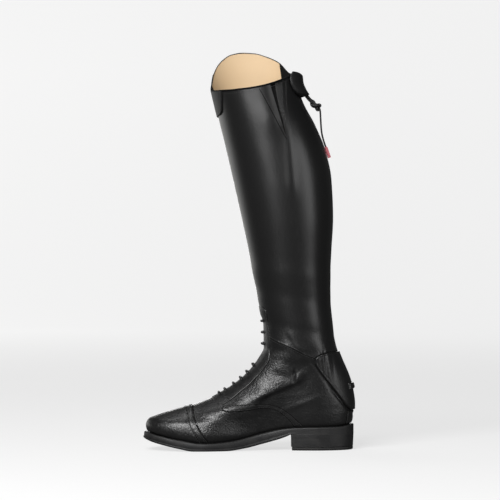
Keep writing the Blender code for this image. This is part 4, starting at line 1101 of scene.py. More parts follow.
def paintedShadeLine(ring, phi, inset, width, height=0.02):  # narrow painted shadow line of a seam: a dark strip lying on the leather
    made = [insetTrack(ring, phi, inset + np.asarray(width) * s) for s in (-0.5, 0.0, 0.5)]
    ringGrid, phiGrid = np.array([m[0] for m in made]).T, np.array([m[1] for m in made]).T
    lift = np.tile((height, height + 0.05, height), (len(ringGrid), 1))
    groovesAndShade["grids"].append(shell(ringGrid, phiGrid, lift))


toeCap = {
    "edge": ((-76.2, 62.0), (-74.5, 57.5), (-70.2, 38.6), (-61.8, 22.5), (-53.0, 10.4)),
    "low": -0.2, "thick": 1.45, "round": 0.9,
    "groovesAndShade": ((1.9, 0.25, 0.5), (7.6, 0.55, 0.7)),
    "ridgeX": -75.9,  # where the edge crosses the middle line
    "rowsFromTop": (0.0, 0.08, 0.2, 0.4, 0.7, 1.1, 1.6, 2.3, 3.2, 4.4, 6.0, 8.0, 10.0, 12.0, 14.0,
                    16.5, 19.0, 21.5, 24.0, 26.5, 29.0, 31.5, 34.0, 36.5, 39.0, 41.0, 42.6),
    "threads": (1.9, 6.6, 8.6), "threadLift": 1.2,
    "lines": ((0.7, 2.0, 0.02), (-7.6, 0.9, 1.0)),  # shadow lines: offset, width, height
}


def makeToeCap():
    ring, phi = sideTrack(toeCap["edge"], 80)
    order = np.argsort(ring)
    ring, phi = ring[order], phi[order]
    heights = np.arange(60.0, 90.0, 0.1)
    top = float(np.interp(toeCap["ridgeX"], look("frontX", heights), heights))
    rows = [max(footRing, top - d) for d in toeCap["rowsFromTop"]][::-1]
    ring = np.append(ring[ring < top - 0.05], top)
    phi = np.append(phi[:len(ring) - 1], math.pi - 0.002)
    grid = []
    for level in rows:
        start = float(np.interp(level, ring, phi))
        grid.append(phiRow(level, start, 2.0 * math.pi - start, 70))
    grid = np.array(grid)
    levels = np.repeat(np.array(rows)[:, None], grid.shape[1], axis=1)
    edge = (np.array(rows), grid[:, 0])
    edges = [edge, (edge[0], grid[:, -1])]
    addOverlay("toeCapLeather", [(levels, grid)], edges, toeCap, ("toe_cap",))
    around = np.concatenate((edge[0], edge[0][::-1][1:])), np.concatenate((grid[:, 0], grid[::-1, -1][1:]))
    for inset in toeCap["threads"]:
        sewAlong(*around, -inset, toeCap["threadLift"])
    for line in toeCap["lines"]:
        paintedShadeLine(*around, *line)


makeToeCap()

vampSeam = {
    "upperEdge": ((-34.5, 57.0), (-23.3, 58.2), (-2.5, 58.8), (18.2, 59.4), (34.8, 56.3), (49.3, 48.1),
                  (63.8, 35.6), (68.6, 30.6)),
    "lowerEdge": ((-35.5, 52.4), (-26.0, 50.7), (-4.6, 52.1), (18.2, 55.3), (34.8, 52.3), (49.3, 41.9), (58.6, 30.4)),
    "low": -0.2, "thick": 1.1, "round": 0.8,
    "groovesAndShade": ((1.3, 0.25, 0.45),),
    "threadLift": 0.85, "line": (0.3, 1.1),
}


def ribbonGrid(upperEdge, lowerEdge, side, rows, middle):  # patch between two side-view paths
    top, low = smoothPath(upperEdge, rows), smoothPath(lowerEdge, rows)
    width = float(np.mean(np.linalg.norm(top - low, axis=1)))
    share = gradedRun(width, middle) / width
    flat = low[:, None] + (top - low)[:, None] * share[None, :, None]
    ring, phi = fromSide(flat[..., 0], flat[..., 1], side)
    if side < 0:
        return ring[:, ::-1], phi[:, ::-1]
    return ring, phi


def gridBorder(ring, phi):
    return [(ring[0], phi[0]), (ring[:, -1], phi[:, -1]), (ring[-1], phi[-1]), (ring[:, 0], phi[:, 0])]


def makeVampSeams():
    for name, side in (("vampSeamInner", -1.0), ("vampSeamOuter", 1.0)):
        ring, phi = ribbonGrid(vampSeam["upperEdge"], vampSeam["lowerEdge"], side, 120, 3)
        node = "vamp_seam_medial" if side < 0 else "vamp_seam_lateral"
        addOverlay(name, [(ring, phi)], gridBorder(ring, phi), vampSeam, (node,))
        for column in (4, ring.shape[1] - 5):
            sewAlong(ring[:, column], phi[:, column], 0.0, vampSeam["threadLift"])
        # painted shadow lines along both edges of the seam band
        offset, width = vampSeam["line"]
        for column, sign in ((0, 1.0), (-1, -1.0)):
            paintedShadeLine(ring[:, column], phi[:, column], offset * sign, width)


makeVampSeams()

eyestay = {
    "outerEdge": ((-35.0, 58.6), (-23.5, 65.9), (-11.0, 76.3), (1.3, 86.7), (13.7, 100.2), (22.6, 111.6),
                  (25.6, 120.0), (25.9, 128.9), (26.2, 136.0)),
    "frontEdge": ((-35.0, 58.6), (-40.0, 59.2), (-45.2, 62.6), (-48.2, 67.3)),
    "topLevel": 133.4,
    "low": -0.2, "thick": 0.95, "round": 1.5,
    "groovesAndShade": ((1.8, 0.2, 0.5), (4.2, 0.25, 0.5)),
    "threads": (1.8, 4.2), "threadLift": 0.68, "line": (0.3, 0.9),
}
shaftFacing = {
    "outerEdge": ((25.8, 128.9), (26.2, 140.0), (25.5, 150.0), (23.4, 167.3), (22.2, 176.8),
                  (19.5, 182.6), (15.4, 185.2)),
    "bottomLevel": 133.4, "topLevel": 185.4,
    "low": -0.2, "thick": 0.95, "round": 1.5,
    "groovesAndShade": ((1.8, 0.2, 0.5),),
    "threads": (1.8,), "threadLift": 0.68, "line": (0.3, 0.9),
}


def throatEdge(level):  # angle of the facing's edge beside the lace, round at both ends
    below, above = boot["throatOver"]
    half = throughPoints(boot["throat"], level) + 0.3
    half = half * np.sqrt(np.clip((level - boot["throatBottom"] + below) / 5.0, 0.0, 1.0))
    half = half * np.sqrt(np.clip((boot["throatTop"] + above - level) / 4.0, 0.0, 1.0))
    return edgeAngle(level, half, True)


def finishFacing(rows, grid, values, sewn, lined):  # threads and shadow line along the outer edge, on both sides
    offset, width = values["line"]
    for sign in (1.0, -1.0):
        for inset in values["threads"]:
            sewAlong(rows[sewn], sign * grid[sewn, 0], -inset * sign, values["threadLift"])
        paintedShadeLine(rows[lined], sign * grid[lined, 0], offset * sign, width)


def makeEyestay():
    ring, phi = sideTrack(eyestay["outerEdge"], 140)
    low = int(np.argmin(ring))
    outerRing, outerPhi = ring[low:], phi[low:]
    order = np.argsort(outerRing)
    outerRing, outerPhi = outerRing[order], outerPhi[order]
    frontRing, frontPhi = sideTrack(eyestay["frontEdge"], 40)
    frontPhi[-1] = math.pi
    start, join = float(outerRing[0]), float(frontRing[-1])
    rows = np.concatenate((np.linspace(start + 0.02, start + 2.0, 8), np.linspace(start + 2.6, join, 18),
                           np.linspace(join + 0.4, 98.0, 14), np.linspace(99.0, 126.0, 34),
                           np.linspace(126.6, eyestay["topLevel"], 14)))
    grid = []
    for level in rows:
        end = np.interp(level, frontRing, frontPhi) if level < join else throatEdge(np.array(level))
        grid.append(phiRow(level, float(np.interp(level, outerRing, outerPhi)), float(end), 8))
    grid = np.array(grid)
    levels = np.repeat(rows[:, None], grid.shape[1], axis=1)
    below, beside = rows < join, (rows > join) & (rows > boot["throatBottom"] - boot["throatOver"][0])
    edges = []
    for sign in (1.0, -1.0):
        edges.append((rows, sign * grid[:, 0]))
        edges += [(rows[part], sign * grid[part, -1]) for part in (below, beside)]
    addOverlay("eyestayLeather", [(levels, grid), mirrored((levels, grid))], edges, eyestay, ("eyestay",))
    finishFacing(rows, grid, eyestay, slice(8, -6), slice(2, None))


def makeFacing():
    ring, phi = sideTrack(shaftFacing["outerEdge"], 120)
    order = np.argsort(ring)
    ring, phi = ring[order], phi[order]
    top = shaftFacing["topLevel"]
    under = ring < top - 0.1
    ring, phi = np.append(ring[under], top), np.append(phi[under], math.pi - 0.02)
    first = shaftFacing["bottomLevel"]
    rows = np.concatenate((first + np.array((0.0, 0.12, 0.35, 0.7, 1.2, 2.0)), np.linspace(first + 3.0, 166.0, 22),
                           np.linspace(167.0, 182.0, 24), top - np.array((2.6, 1.9, 1.3, 0.8, 0.45, 0.2, 0.06, 0.0))))
    spans = [(float(np.interp(level, ring, phi)), float(throatEdge(np.array(level)))) for level in rows]
    grid = np.array([phiRow(level, *span, 8) for level, span in zip(rows, spans)])
    levels = np.repeat(rows[:, None], grid.shape[1], axis=1)
    inThroat = rows < boot["throatTop"] + boot["throatOver"][1]
    edges = []
    for sign in (1.0, -1.0):
        edges += [(rows, sign * grid[:, 0]), (rows[inThroat], sign * grid[inThroat, -1])]
    both = [(levels, grid), mirrored((levels, grid))]
    addOverlay("shaftFacingLeather", both, edges, shaftFacing, ("shaft_facing",))
    finishFacing(rows, grid, shaftFacing, slice(None, -7), slice(None, -3))


makeEyestay()
makeFacing()
print("toe cap, seams and facings are on")

heelGuard = {
    "topEdge": ((83.9, 118.4), (91.3, 123.4), (100.2, 125.8), (106.0, 126.3), (114.4, 126.8)),
    "lowEdge": ((84.0, 112.0), (90.4, 101.5), (109.2, 77.6), (124.2, 57.7), (130.1, 52.9), (134.6, 51.6)),
    "low": 0.1, "thick": 2.45, "round": 1.3,
    "groovesAndShade": ((3.0, 0.3, 0.55),),
    "inset": 3.0, "threadLift": 2.3,
}
spurRest = {"levels": (78.0, 86.0), "level": 82.0, "half": 15.0, "low": 1.9, "thick": 3.2, "round": 2.2}
backStrip = {
    "levels": (34.2, 50.6), "level": 42.0, "reach": 126.0, "low": -0.2, "thick": 1.0, "round": 1.4,
    "line": (0.5, 1.7),
}
soleGapShade = ((33.8, 0.1), (34.4, 0.15), (35.0, 0.12), (35.6, 0.02))  # painted shade in the gap over the sole, a dark strip round the foot: rings and their heights


def makeHeelGuard():
    topRing, topPhi = sideTrack(heelGuard["topEdge"], 80)
    lowRing, lowPhi = sideTrack(heelGuard["lowEdge"], 120)
    reach = float(min(topPhi[0], lowPhi[0]))
    side = reach - phiRow(116.0, 0.0, reach, 44, False)
    phi = np.concatenate((-side[:-1], side[::-1]))
    high = np.interp(abs(phi), topPhi[::-1], topRing[::-1])
    low = np.interp(abs(phi), lowPhi[::-1], lowRing[::-1])
    grid = np.array([ringColumn(f, a, b, 26) for f, a, b in zip(phi, low, high)]).T
    angles = np.repeat(phi[None], grid.shape[0], axis=0)
    edges = gridBorder(grid, angles)
    addOverlay("heelGuardLeather", [(grid, angles)], edges, heelGuard, ("heel_guard",))
    deep = 1.6 + 3.2 * np.clip((112.0 - low) / 60.0, 0.0, 1.0)  # the painted shadow under the guard widens downwards
    paintedShadeLine(low, phi, -0.35 * deep, deep)
    # painted shadow line along the guard's top edge
    paintedShadeLine(high, phi, 0.5, 1.6)
    for ring, sign in ((low, 1.0), (high, -1.0)):
        sewAlong(ring[2:-2], phi[2:-2], heelGuard["inset"] * sign, heelGuard["threadLift"])


def makeBackPatch(name, values, reach, columns, rows, stands):  # patch across the back line
    phi = phiRow(values["level"], -reach, reach, columns)
    grid = np.array([ringColumn(f, *values["levels"], rows) for f in phi]).T
    angles = np.repeat(phi[None], grid.shape[0], axis=0)
    addOverlay(name, [(grid, angles)], gridBorder(grid, angles), values, stands)
    return grid, angles


def makeBackPieces():
    reach = float(edgeAngle(np.array(spurRest["level"]), spurRest["half"], False))
    makeBackPatch("spurRestLeather", spurRest, reach, 16, 4, ("spur_rest",))
    reach = float(angleAt(backStrip["level"], backStrip["reach"]))
    grid, angles = makeBackPatch("backStripLeather", backStrip, reach, 22, 8, ("back_strip",))
    # painted shadow lines along both edges of the back strip
    offset, width = backStrip["line"]
    for column, sign in ((0, 1.0), (-1, -1.0)):
        paintedShadeLine(grid[:, column], angles[:, column], offset * sign, width)


def makeSoleGapShade():
    # a dark ring strip that paints the shade between upper and sole
    turn = np.repeat(np.linspace(0.0, 2.0 * math.pi, 400)[:, None], len(soleGapShade), axis=1)
    ring, lift = (np.tile(values, (len(turn), 1)) for values in zip(*soleGapShade))
    groovesAndShade["grids"].append(shell(ring, turn, lift))


makeHeelGuard()
makeBackPieces()
makeSoleGapShade()

frontTab = {
    "edge": ((430.6, -46.0), (431.4, -41.0), (433.2, -36.6), (436.5, -35.0), (445.0, -35.0), (475.0, -35.6)),
    "outerHalf": 26.0, "topRing": 471.9,
    "low": 0.0, "thick": 2.2, "round": 1.2,
    "groovesAndShade": ((2.6, 0.25, 0.5),),
    "inset": 2.6, "threadLift": 1.85,
    "foldInside": 2.5,  # depth of the fold behind the topline
}
gusset = {
    "leftEdge": ((22.6, 474.0), (26.6, 462.4), (35.0, 435.8), (40.6, 418.6), (45.8, 404.0)),
    "rightEdge": ((44.2, 480.0), (45.2, 446.4), (48.2, 424.6), (48.2, 404.0)),
    "lift": -1.0, "thick": 0.9, "ribs": 10, "slit": 0.44,  # slit along the front, as a share of the width: the elastic dips there and its faces are painted with shade
}
topTab = {
    "inner": ((456.5, 20.0), (459.0, 27.0), (462.0, 31.0), (466.0, 34.0), (472.0, 36.0), (478.0, 36.0),
              (483.0, 33.5), (488.6, 26.0)),
    "outerShare": 0.78,
    "stand": ((456.5, 9.6), (459.0, 8.7), (465.6, 7.0), (473.7, 6.0), (480.0, 6.5), (483.0, 6.6),
              (486.0, 4.8), (488.6, 1.6)),
    "thick": 2.2, "restLift": 0.6,
}


def makeFrontTab():
    levels = np.concatenate((frontTab["edge"][0][0] + edgeSteps, np.linspace(436.0, 463.0, 26)))
    edgeX = throughPoints(frontTab["edge"], levels)
    rows = []
    for level, x in zip(levels, edgeX):
        start = float(edgeAngle(np.array(level), frontTab["outerHalf"], True))
        rows.append(phiRow(level, start, 2.0 * math.pi - float(angleAt(level, x)), 26))
    grid = np.array(rows)
    levels = np.repeat(levels[:, None], grid.shape[1], axis=1)
    ring = np.minimum(ringOf(levels, grid), frontTab["topRing"])
    top = np.full(grid.shape[1], frontTab["topRing"])
    share = np.linspace(0.0, 1.0, len(ring))[:, None]
    ring = ring + (top[None] - ring[-1][None]) * np.clip((share - 0.3) / 0.7, 0.0, 1.0)
    edges = [(ring[0], grid[0]), (ring[:, 0], grid[:, 0]), (ring[:, -1], grid[:, -1])]
    face = overlayPoints([(ring, grid)], edges, frontTab)[0]
    thin = np.clip((math.pi + 0.1 - grid) / 0.3, 0.0, 1.0)[..., None]  # thinner round the far side
    face = face + (shell(ring, grid, np.full(ring.shape, 0.5)) - face) * 0.7 * thin
    lifts = np.linalg.norm(face[-1] - shell(ring[-1], grid[-1]), axis=-1)
    near = np.clip((grid[-1] - math.pi + 0.35) / 0.3, 0.0, 1.0)  # round the far side the tab stays below the edge
    fold, inside = [], frontTab["foldInside"]
    for turn in np.linspace(0.25, math.pi, 8):  # over the top edge
        reach = (lifts + inside) / 2.0 * near
        rise = np.array((0.0, 0.0, 1.0)) * (0.8 * math.sin(turn) * near)[:, None]
        fold.append(shell(top, grid[-1], lifts - reach + reach * math.cos(turn)) + rise)
    fold.append(shell(top - 0.6, grid[-1], lifts + (-inside - lifts) * near))
    points, faces = joinGrids([np.concatenate((face, np.array(fold)))])
    # the fold over the top edge gets the dark shade finish: painted shade where the leather turns away
    kinds = np.repeat(np.arange(len(face) + len(fold) - 1) >= len(face) - 1, grid.shape[1] - 1)
    finishes = ["softLeather", "deepShade"]
    addPiece("frontTabLeather", points, faces, finishes, ("front_tab",), kinds, sharp=60.0)
    for part in (np.s_[9:-1, -1], np.s_[0, 6:-6]):
        sewAlong(ring[part], grid[part], frontTab["inset"], frontTab["threadLift"])


def makeGusset():
    rows, columns = 70, 46
    left, right = smoothPath(gusset["leftEdge"], rows), smoothPath(gusset["rightEdge"], rows)
    share = np.linspace(0.0, 1.0, columns)
    flat = left[:, None] + (right - left)[:, None] * share[None, :, None]
    ring, phi = fromSide(flat[..., 0], flat[..., 1], -1.0)
    ring = np.minimum(ring, upperValues["edgeRings"][0])
    ribs = 0.22 * np.cos(share * gusset["ribs"] * 2.0 * math.pi)[None]
    deep = 1.0 / (1.0 + np.exp((share - gusset["slit"]) / 0.025))[None]
    lift = gusset["lift"] + ribs * (1.0 - deep) - 1.7 * deep
    front, back = shell(ring, phi, lift), shell(ring, phi, lift - gusset["thick"])
    item = addClosedSheet("gussetElastic", front, back, ["elasticRibs", "deepShade"], ("gusset",))
    # faces in the slit get the dark shade finish: painted shade
    slitShade = np.tile(share[:-1] < gusset["slit"] - 0.02, rows - 1).astype(np.int32)
    plain = np.zeros(len(item.data.polygons) - len(slitShade), np.int32)
    item.data.polygons.foreach_set("material_index", np.concatenate((slitShade, plain)))


def addClosedSheet(name, front, back, finishes, stands):  # two point grids closed around their border
    rows, columns = front.shape[:2]
    count = rows * columns
    table = np.arange(count).reshape(rows, columns)
    around = [*table[0], *table[1:, -1], *table[-1, -2::-1], *table[-2:0:-1, 0]]
    rim = [(a, a + count, b + count, b) for a, b in zip(around, around[1:] + around[:1])]
    quads = gridFaces(rows, columns)
    faces = [tuple(f) for f in quads] + [tuple(f) for f in quads[:, ::-1] + count] + rim
    points = np.vstack((front.reshape(-1, 3), back.reshape(-1, 3)))
    item = addPiece(name, points, faces, finishes, stands, sharp=50.0)
    rework(item.data, turnOut)
    return item


def makeTopTab():
    ends = np.array((0.0, 0.3, 0.8, 1.5))
    first, last = topTab["inner"][0][0], topTab["inner"][-1][0]
    levels = np.concatenate((first + ends, np.linspace(459.0, 486.0, 24), last - ends[::-1]))
    share = np.sin(np.linspace(-math.pi / 2.0, math.pi / 2.0, 41)) * 0.5 + 0.5
    inner = np.radians(throughPoints(topTab["inner"], levels))
    phi = -inner[:, None] + inner[:, None] * (1.0 + topTab["outerShare"]) * share[None]
    rest = topTab["restLift"]
    stand = rest + (throughPoints(topTab["stand"], levels)[:, None] - rest) * np.sin(math.pi * share)[None] ** 0.7
    level = np.repeat(levels[:, None], len(share), axis=1)
    base = skinPoint(level, phi)
    around = skinPoint(level, phi + 0.006) - skinPoint(level, phi - 0.006)
    upward = skinPoint(level + 0.5, phi) - skinPoint(level - 0.5, phi)
    out = np.cross(around, upward)
    out /= np.linalg.norm(out, axis=-1, keepdims=True)
    fromEnd = np.minimum(level - levels[0], levels[-1] - level)
    fromEdge = np.minimum(share, 1.0 - share)[None] * 46.0
    bulge = np.sqrt(1.0 - (1.0 - np.clip(np.minimum(fromEnd, fromEdge) / 1.6, 0.0, 1.0)) ** 2)
    half = topTab["thick"] / 2.0 * (0.15 + 0.85 * bulge)
    centre = stand + topTab["thick"] / 2.0
    front, back = base + out * (centre + half)[..., None], base + out * (centre - half)[..., None]
    addClosedSheet("topTabLeather", front, back, ["softLeather"], ("top_tab",))
    inset = front + out * 0.1
    for column in (3, -4):
        sewFree(inset[5:-5, column], out[5:-5, column])


makeFrontTab()
makeGusset()
makeTopTab()
print("heel guard, tabs and gusset are on")

ankleSeam = {
    "path": ((25.0, 146.0), (30.0, 142.8), (38.4, 138.7), (48.8, 134.8), (60.5, 129.0), (70.9, 123.5), (84.5, 118.6)),
    "half": 2.6, "low": -0.25, "thick": 0.38, "round": 2.0,
}


def makeAnkleSeam():  # lapped seam between quarter and shaft, part of the upper
    grids, edges = [], []
    for side in (1.0, -1.0):
        ring, phi = sideTrack(ankleSeam["path"], 90, side)
        across = np.linspace(-ankleSeam["half"], ankleSeam["half"], 13)
        made = [insetTrack(ring, phi, d) for d in (across if side < 0 else -across)]
        ringGrid, phiGrid = np.array([m[0] for m in made]), np.array([m[1] for m in made])
        grids.append((ringGrid.T, phiGrid.T) if side > 0 else (ringGrid.T[:, ::-1], phiGrid.T[:, ::-1]))
        edges += gridBorder(*grids[-1])
        for inset in (-1.3, 1.3):
            sewAlong(ring, phi, inset, 0.18)
        # painted shadow line down the middle of the seam
        paintedShadeLine(ring, phi, 0.0, 0.8, 0.16)
    points, faces = joinGrids(overlayPoints(grids, edges, ankleSeam))
    item = addPiece("ankleSeamLeather", points, faces, ["blackLeather"], sharp=60.0)
    rework(item.data, faceAway)


makeAnkleSeam()


edgeSeams = {
    "lift": 0.12,
    "drop": 4.0, "spans": ((0.0, math.pi - 0.5), (math.pi + 0.42, 4.72), (5.0, 7.0)),  # rows under the topline
    "gussetFront": ((12.4, 464.4), (23.5, 443.8), (42.0, 409.2), (47.2, 400.0)),
    "gussetBack": ((46.6, 476.0), (47.4, 446.0), (50.2, 425.0), (49.6, 402.0)),
    "beadSpans": ((3.56, 5.0), (5.02, 5.86)), "bead": (471.8, -0.35, 1.3),  # turned edge, a bead with the dark shade finish (real edge, painted shade): ring, height, radius
    "zipRings": (130.0, 452.0), "besideZip": (6.6, 9.4),
}


def sewEdges():  # topline, gusset lines and both sides of the zip
    lift = edgeSeams["lift"]
    turn = np.linspace(0.25, 2.0 * math.pi - 0.25, 500)
    ring = ringOf(collarHeight(turn) - edgeSeams["drop"], turn)
    for first, last in edgeSeams["spans"]:
        part = (turn > first) & (turn < last)
        sewAlong(ring[part], turn[part], 0.0, lift)
    front, back = (sideTrack(edgeSeams[key], 60, -1.0) for key in ("gussetFront", "gussetBack"))
    # painted shadow line along the front of the gusset
    paintedShadeLine(*front, 0.0, 0.9)
    sewAlong(*front, 1.6, lift)
    sewAlong(*back, 0.0, lift)
    place, height, radius = edgeSeams["bead"]
    angles = [np.linspace(first, last, 70) for first, last in edgeSeams["beadSpans"]]
    points, faces = tubePiece([shell(place, angle, height) for angle in angles], radius, 8)[:2]
    # the bead's darkness is painted shade along the topline
    addPiece("toplineEdge", points, faces, ["deepShade"])
    rings = np.linspace(*edgeSeams["zipRings"], 160)
    for sign in (1.0, -1.0):
        for half in edgeSeams["besideZip"]:
            sewAlong(rings, sign * edgeAngle(rings, half, False), 0.0, lift)


sewEdges()

zipValues = {
    "half": 6.4, "lift": -2.85, "crown": 2.0, "thick": 0.7, "from": 116.6, "to": 470.5,
    "pitch": 1.7, "toothLift": -0.1, "toothOut": 1.15, "tooth": (1.75, 0.62),  # half length and radius
}
slider = {
    "level": 467.0, "half": 3.6, "deep": 1.3, "reach": 5.5, "stand": 1.45, "wire": 0.55,
    "bridge": ((-4.2, 2.6), (-3.8, 4.0), (-1.5, 4.8), (1.5, 4.8), (3.8, 4.0), (4.2, 2.6)),  # along and above the body
    "ring": (1.9, 2.2), "ringShift": (1.7, 0.2),  # half sizes, and its place from the cord's start
}


def makeZip():
    rings = np.linspace(zipValues["from"], zipValues["to"], 150)
    share = np.linspace(-1.0, 1.0, 25)
    phi = share[None] * edgeAngle(rings, zipValues["half"], False)[:, None]
    ring = np.repeat(rings[:, None], len(share), axis=1)
    rise = zipValues["crown"] * np.exp(-(share / 0.4) ** 4)[None] * np.ones(ring.shape)
    front = shell(ring, phi, zipValues["lift"] + rise)
    back = shell(ring, phi, zipValues["lift"] + rise - zipValues["thick"])
    addClosedSheet("zipTape", front, back, ["zipWeave"], ("zip",))
    teeth = {"points": [], "faces": [], "start": 0, "count": 0}
    for sign, shift in ((1.0, 0.0), (-1.0, 0.5)):
        start = zipValues["from"] + 1.0 + shift * zipValues["pitch"]
        along = np.arange(start, zipValues["to"] - 6.0, zipValues["pitch"])
        angle = sign * edgeAngle(along, zipValues["toothOut"], False)
        out = normalAt(along, angle)
        ahead = np.cross(out, skinAt(along + 0.3, angle) - skinAt(along - 0.3, angle))
        placeThreads(teeth, shell(along, angle, zipValues["toothLift"]), ahead, out, *zipValues["tooth"])
    addPiece("zipTeeth", np.vstack(teeth["points"]), teeth["faces"], ["zipTeeth"])


def makeSlider():  # slider body, bridge and ring, under the top tab
    below, base, above = (skinPoint(slider["level"] + step, 0.0) for step in (-1.0, 0.0, 1.0))
    up = (above - below) / np.linalg.norm(above - below)
    out = np.array((up[2], 0.0, -up[0]))
    wide = np.array((0.0, 1.0, 0.0))
    rows, columns = 15, 28
    grid = np.zeros((rows, columns, 3))
    for i, s in enumerate(np.linspace(-1.0, 1.0, rows)):
        half = (slider["half"] - 0.7 * (0.5 - s / 2.0)) * math.sqrt(max(0.02, 1.0 - abs(s) ** 6))
        deep = slider["deep"] * math.sqrt(max(0.05, 1.0 - abs(s) ** 8))
        for j, turn in enumerate(np.linspace(0.0, 2.0 * math.pi, columns, endpoint=False)):
            a, b = boxy(math.cos(turn), 0.5) * half, boxy(math.sin(turn), 0.6) * deep
            grid[i, j] = base + up * s * slider["reach"] + wide * a + out * (slider["stand"] + b)
    item = addPiece("zipSlider", grid, barrelFaces(rows, columns), ["darkMetal"], ("zip_slider",))
    rework(item.data, turnOut)
    bridge = [base + up * a + out * b for a, b in slider["bridge"]]
    centre = np.array(pullCord["upper"][0]) + up * slider["ringShift"][0] + out * slider["ringShift"][1]
    ring = [centre + wide * slider["ring"][0] * math.cos(t) + up * slider["ring"][1] * math.sin(t)
            for t in np.linspace(0.0, 2.0 * math.pi, 24)]
    points, faces = tubePiece([smoothPath(bridge, 16), np.array(ring)], slider["wire"], 8)[:2]
    addPiece("sliderBridge", points, faces, ["darkMetal"])


makeZip()
makeSlider()

laceValues = {
    "levels": (94.6, 98.4, 104.0, 109.6, 115.6, 121.8, 140.0, 151.5, 166.5),
    "radius": 1.65, "half": 10.6, "crown": 1.5, "behind": -4.0,
    "rim": (1.75, 0.42),  # punched holes: radius, and radius of the rim
}


def laceSpot(level, y, lift):  # place beside the middle line, straight across the ridge, at a height over the leather
    side = 1.0 if y >= 0.0 else -1.0
    ridge = skinAt(level + 1.0, math.pi) - skinAt(level - 1.0, math.pi)
    rings = np.linspace(level - 16.0, level + 4.0, 41)
    angles = math.pi - side * (math.pi - edgeAngle(rings, abs(y), True))
    away = (skinAt(rings, angles) - skinAt(level, math.pi)) @ ridge
    ring = np.interp(0.0, away, rings)
    return shell(ring, np.interp(ring, rings, angles), np.array(lift))


def laceBar(level, side):  # from the eyelet on one side across to the other
    shares = (1.0, 1.0, 0.9, 0.6, 0.0, -0.6, -0.9, -1.0, -1.0)
    lifts = (-1.4, 1.0, 2.1, laceValues["crown"], laceValues["crown"], laceValues["crown"], 2.1, 1.0, -1.4)
    return [laceSpot(level, side * s * laceValues["half"], h) for s, h in zip(shares, lifts)]


def makeLace():
    levels, half, behind = laceValues["levels"], laceValues["half"], laceValues["behind"]

    def riser(side, first, last, shift):  # behind the facing, from one row to a higher one
        middle = [levels[first] + (levels[last] - levels[first]) * s for s in (0.15, 0.5, 0.85)]
        return [laceSpot(level, side * (half - shift), behind) for level in middle]

    left, right = [], []
    for store, side, rowsUp, shift in ((left, 1.0, (0, 1, 3, 5, 7, 8), 1.4), (right, -1.0, (0, 2, 4, 6, 8), -1.4)):
        for first, last in zip(rowsUp, rowsUp[1:]):
            store += riser(side, first, last, shift)
            if store is left and last == 8:
                break
            store += laceBar(levels[last], side)
            side = -side
    route = left[::-1] + laceBar(levels[0], 1.0) + right
    path = smoothPath(route, 620)
    points, faces, uvs = tubePiece([path], laceValues["radius"], 10)
    stands = tuple("lace_bar_%d" % k for k in range(1, 10))
    addPiece("bootLace", points, faces, ["braidedCord"], stands, uvs=uvs)
    rims, turn = [], np.linspace(0.0, 2.0 * math.pi, 21)
    hole, rim = laceValues["rim"]
    for level in levels:
        for side in (1.0, -1.0):
            centre = laceSpot(level, side * half, 1.0)
            out = centre - laceSpot(level, side * half, 0.0)
            wide = np.cross(out, (0.0, 0.0, 1.0))
            wide /= np.linalg.norm(wide)
            high = np.cross(wide, out)
            rims.append(np.array([centre + hole * (wide * math.cos(t) + high * math.sin(t)) for t in turn]))
    points, faces = tubePiece(rims, rim, 7, roundEnds=False)[:2]
    addPiece("punchedRims", points, faces, ["softLeather"])
    print("lace runs", round(float(runAlong(path)[-1])), "mm")


makeLace()

tongue = {"from": 85.0, "to": 187.0, "half": 19.0, "lift": -4.95, "thick": 1.9}
insole = {"gap": 0.3, "thick": 3.0, "lift": -2.75}


def makeTongue():
    rings = np.linspace(tongue["from"], tongue["to"], 70)
    share = np.linspace(-1.0, 1.0, 33)
    ends = np.minimum(rings - tongue["from"], tongue["to"] - rings)
    half = tongue["half"] * np.sqrt(np.clip(ends / 9.0, 0.06, 1.0))
    reach = math.pi - edgeAngle(rings, half, True)
    phi = math.pi + share[None] * reach[:, None]
    ring = np.repeat(rings[:, None], len(share), axis=1)
    soft = 0.35 * np.sin(ring / 9.0) * np.cos(share * 3.0)[None]
    edge = np.sqrt(np.clip(1.0 - np.abs(share) ** 8, 0.04, 1.0))[None]
    middle = tongue["lift"] - tongue["thick"] / 2.0 + soft * 0.5
    front = shell(ring, phi, middle + edge * tongue["thick"] / 2.0)
    back = shell(ring, phi, middle - edge * tongue["thick"] / 2.0)
    addClosedSheet("tongueLeather", front, back, ["softLeather"], ("tongue",))


def makeInsole():
    phi = np.linspace(0.02, math.pi - 0.02, 90)
    outer, inner = (shell(footRing, sign * phi, insole["lift"]) for sign in (1.0, -1.0))
    share = np.sin(np.linspace(-math.pi / 2.0, math.pi / 2.0, 15)) * 0.5 + 0.5
    flat = outer[:, None] + (inner - outer)[:, None] * share[None, :, None]
    base = throughPoints(boot["soleTop"], flat[..., 0]) + insole["gap"]
    edge = np.sqrt(np.clip(1.0 - np.abs(2.0 * share - 1.0) ** 14, 0.0, 1.0))[None]
    top, low = flat.copy(), flat.copy()
    top[..., 2] = base + insole["thick"] * (0.55 + 0.45 * edge)
    low[..., 2] = base
    addClosedSheet("insoleBoard", top, low, ["liningLeather"], ("insole",))


makeTongue()
makeInsole()
print("zip, lace, tongue and insole are in")

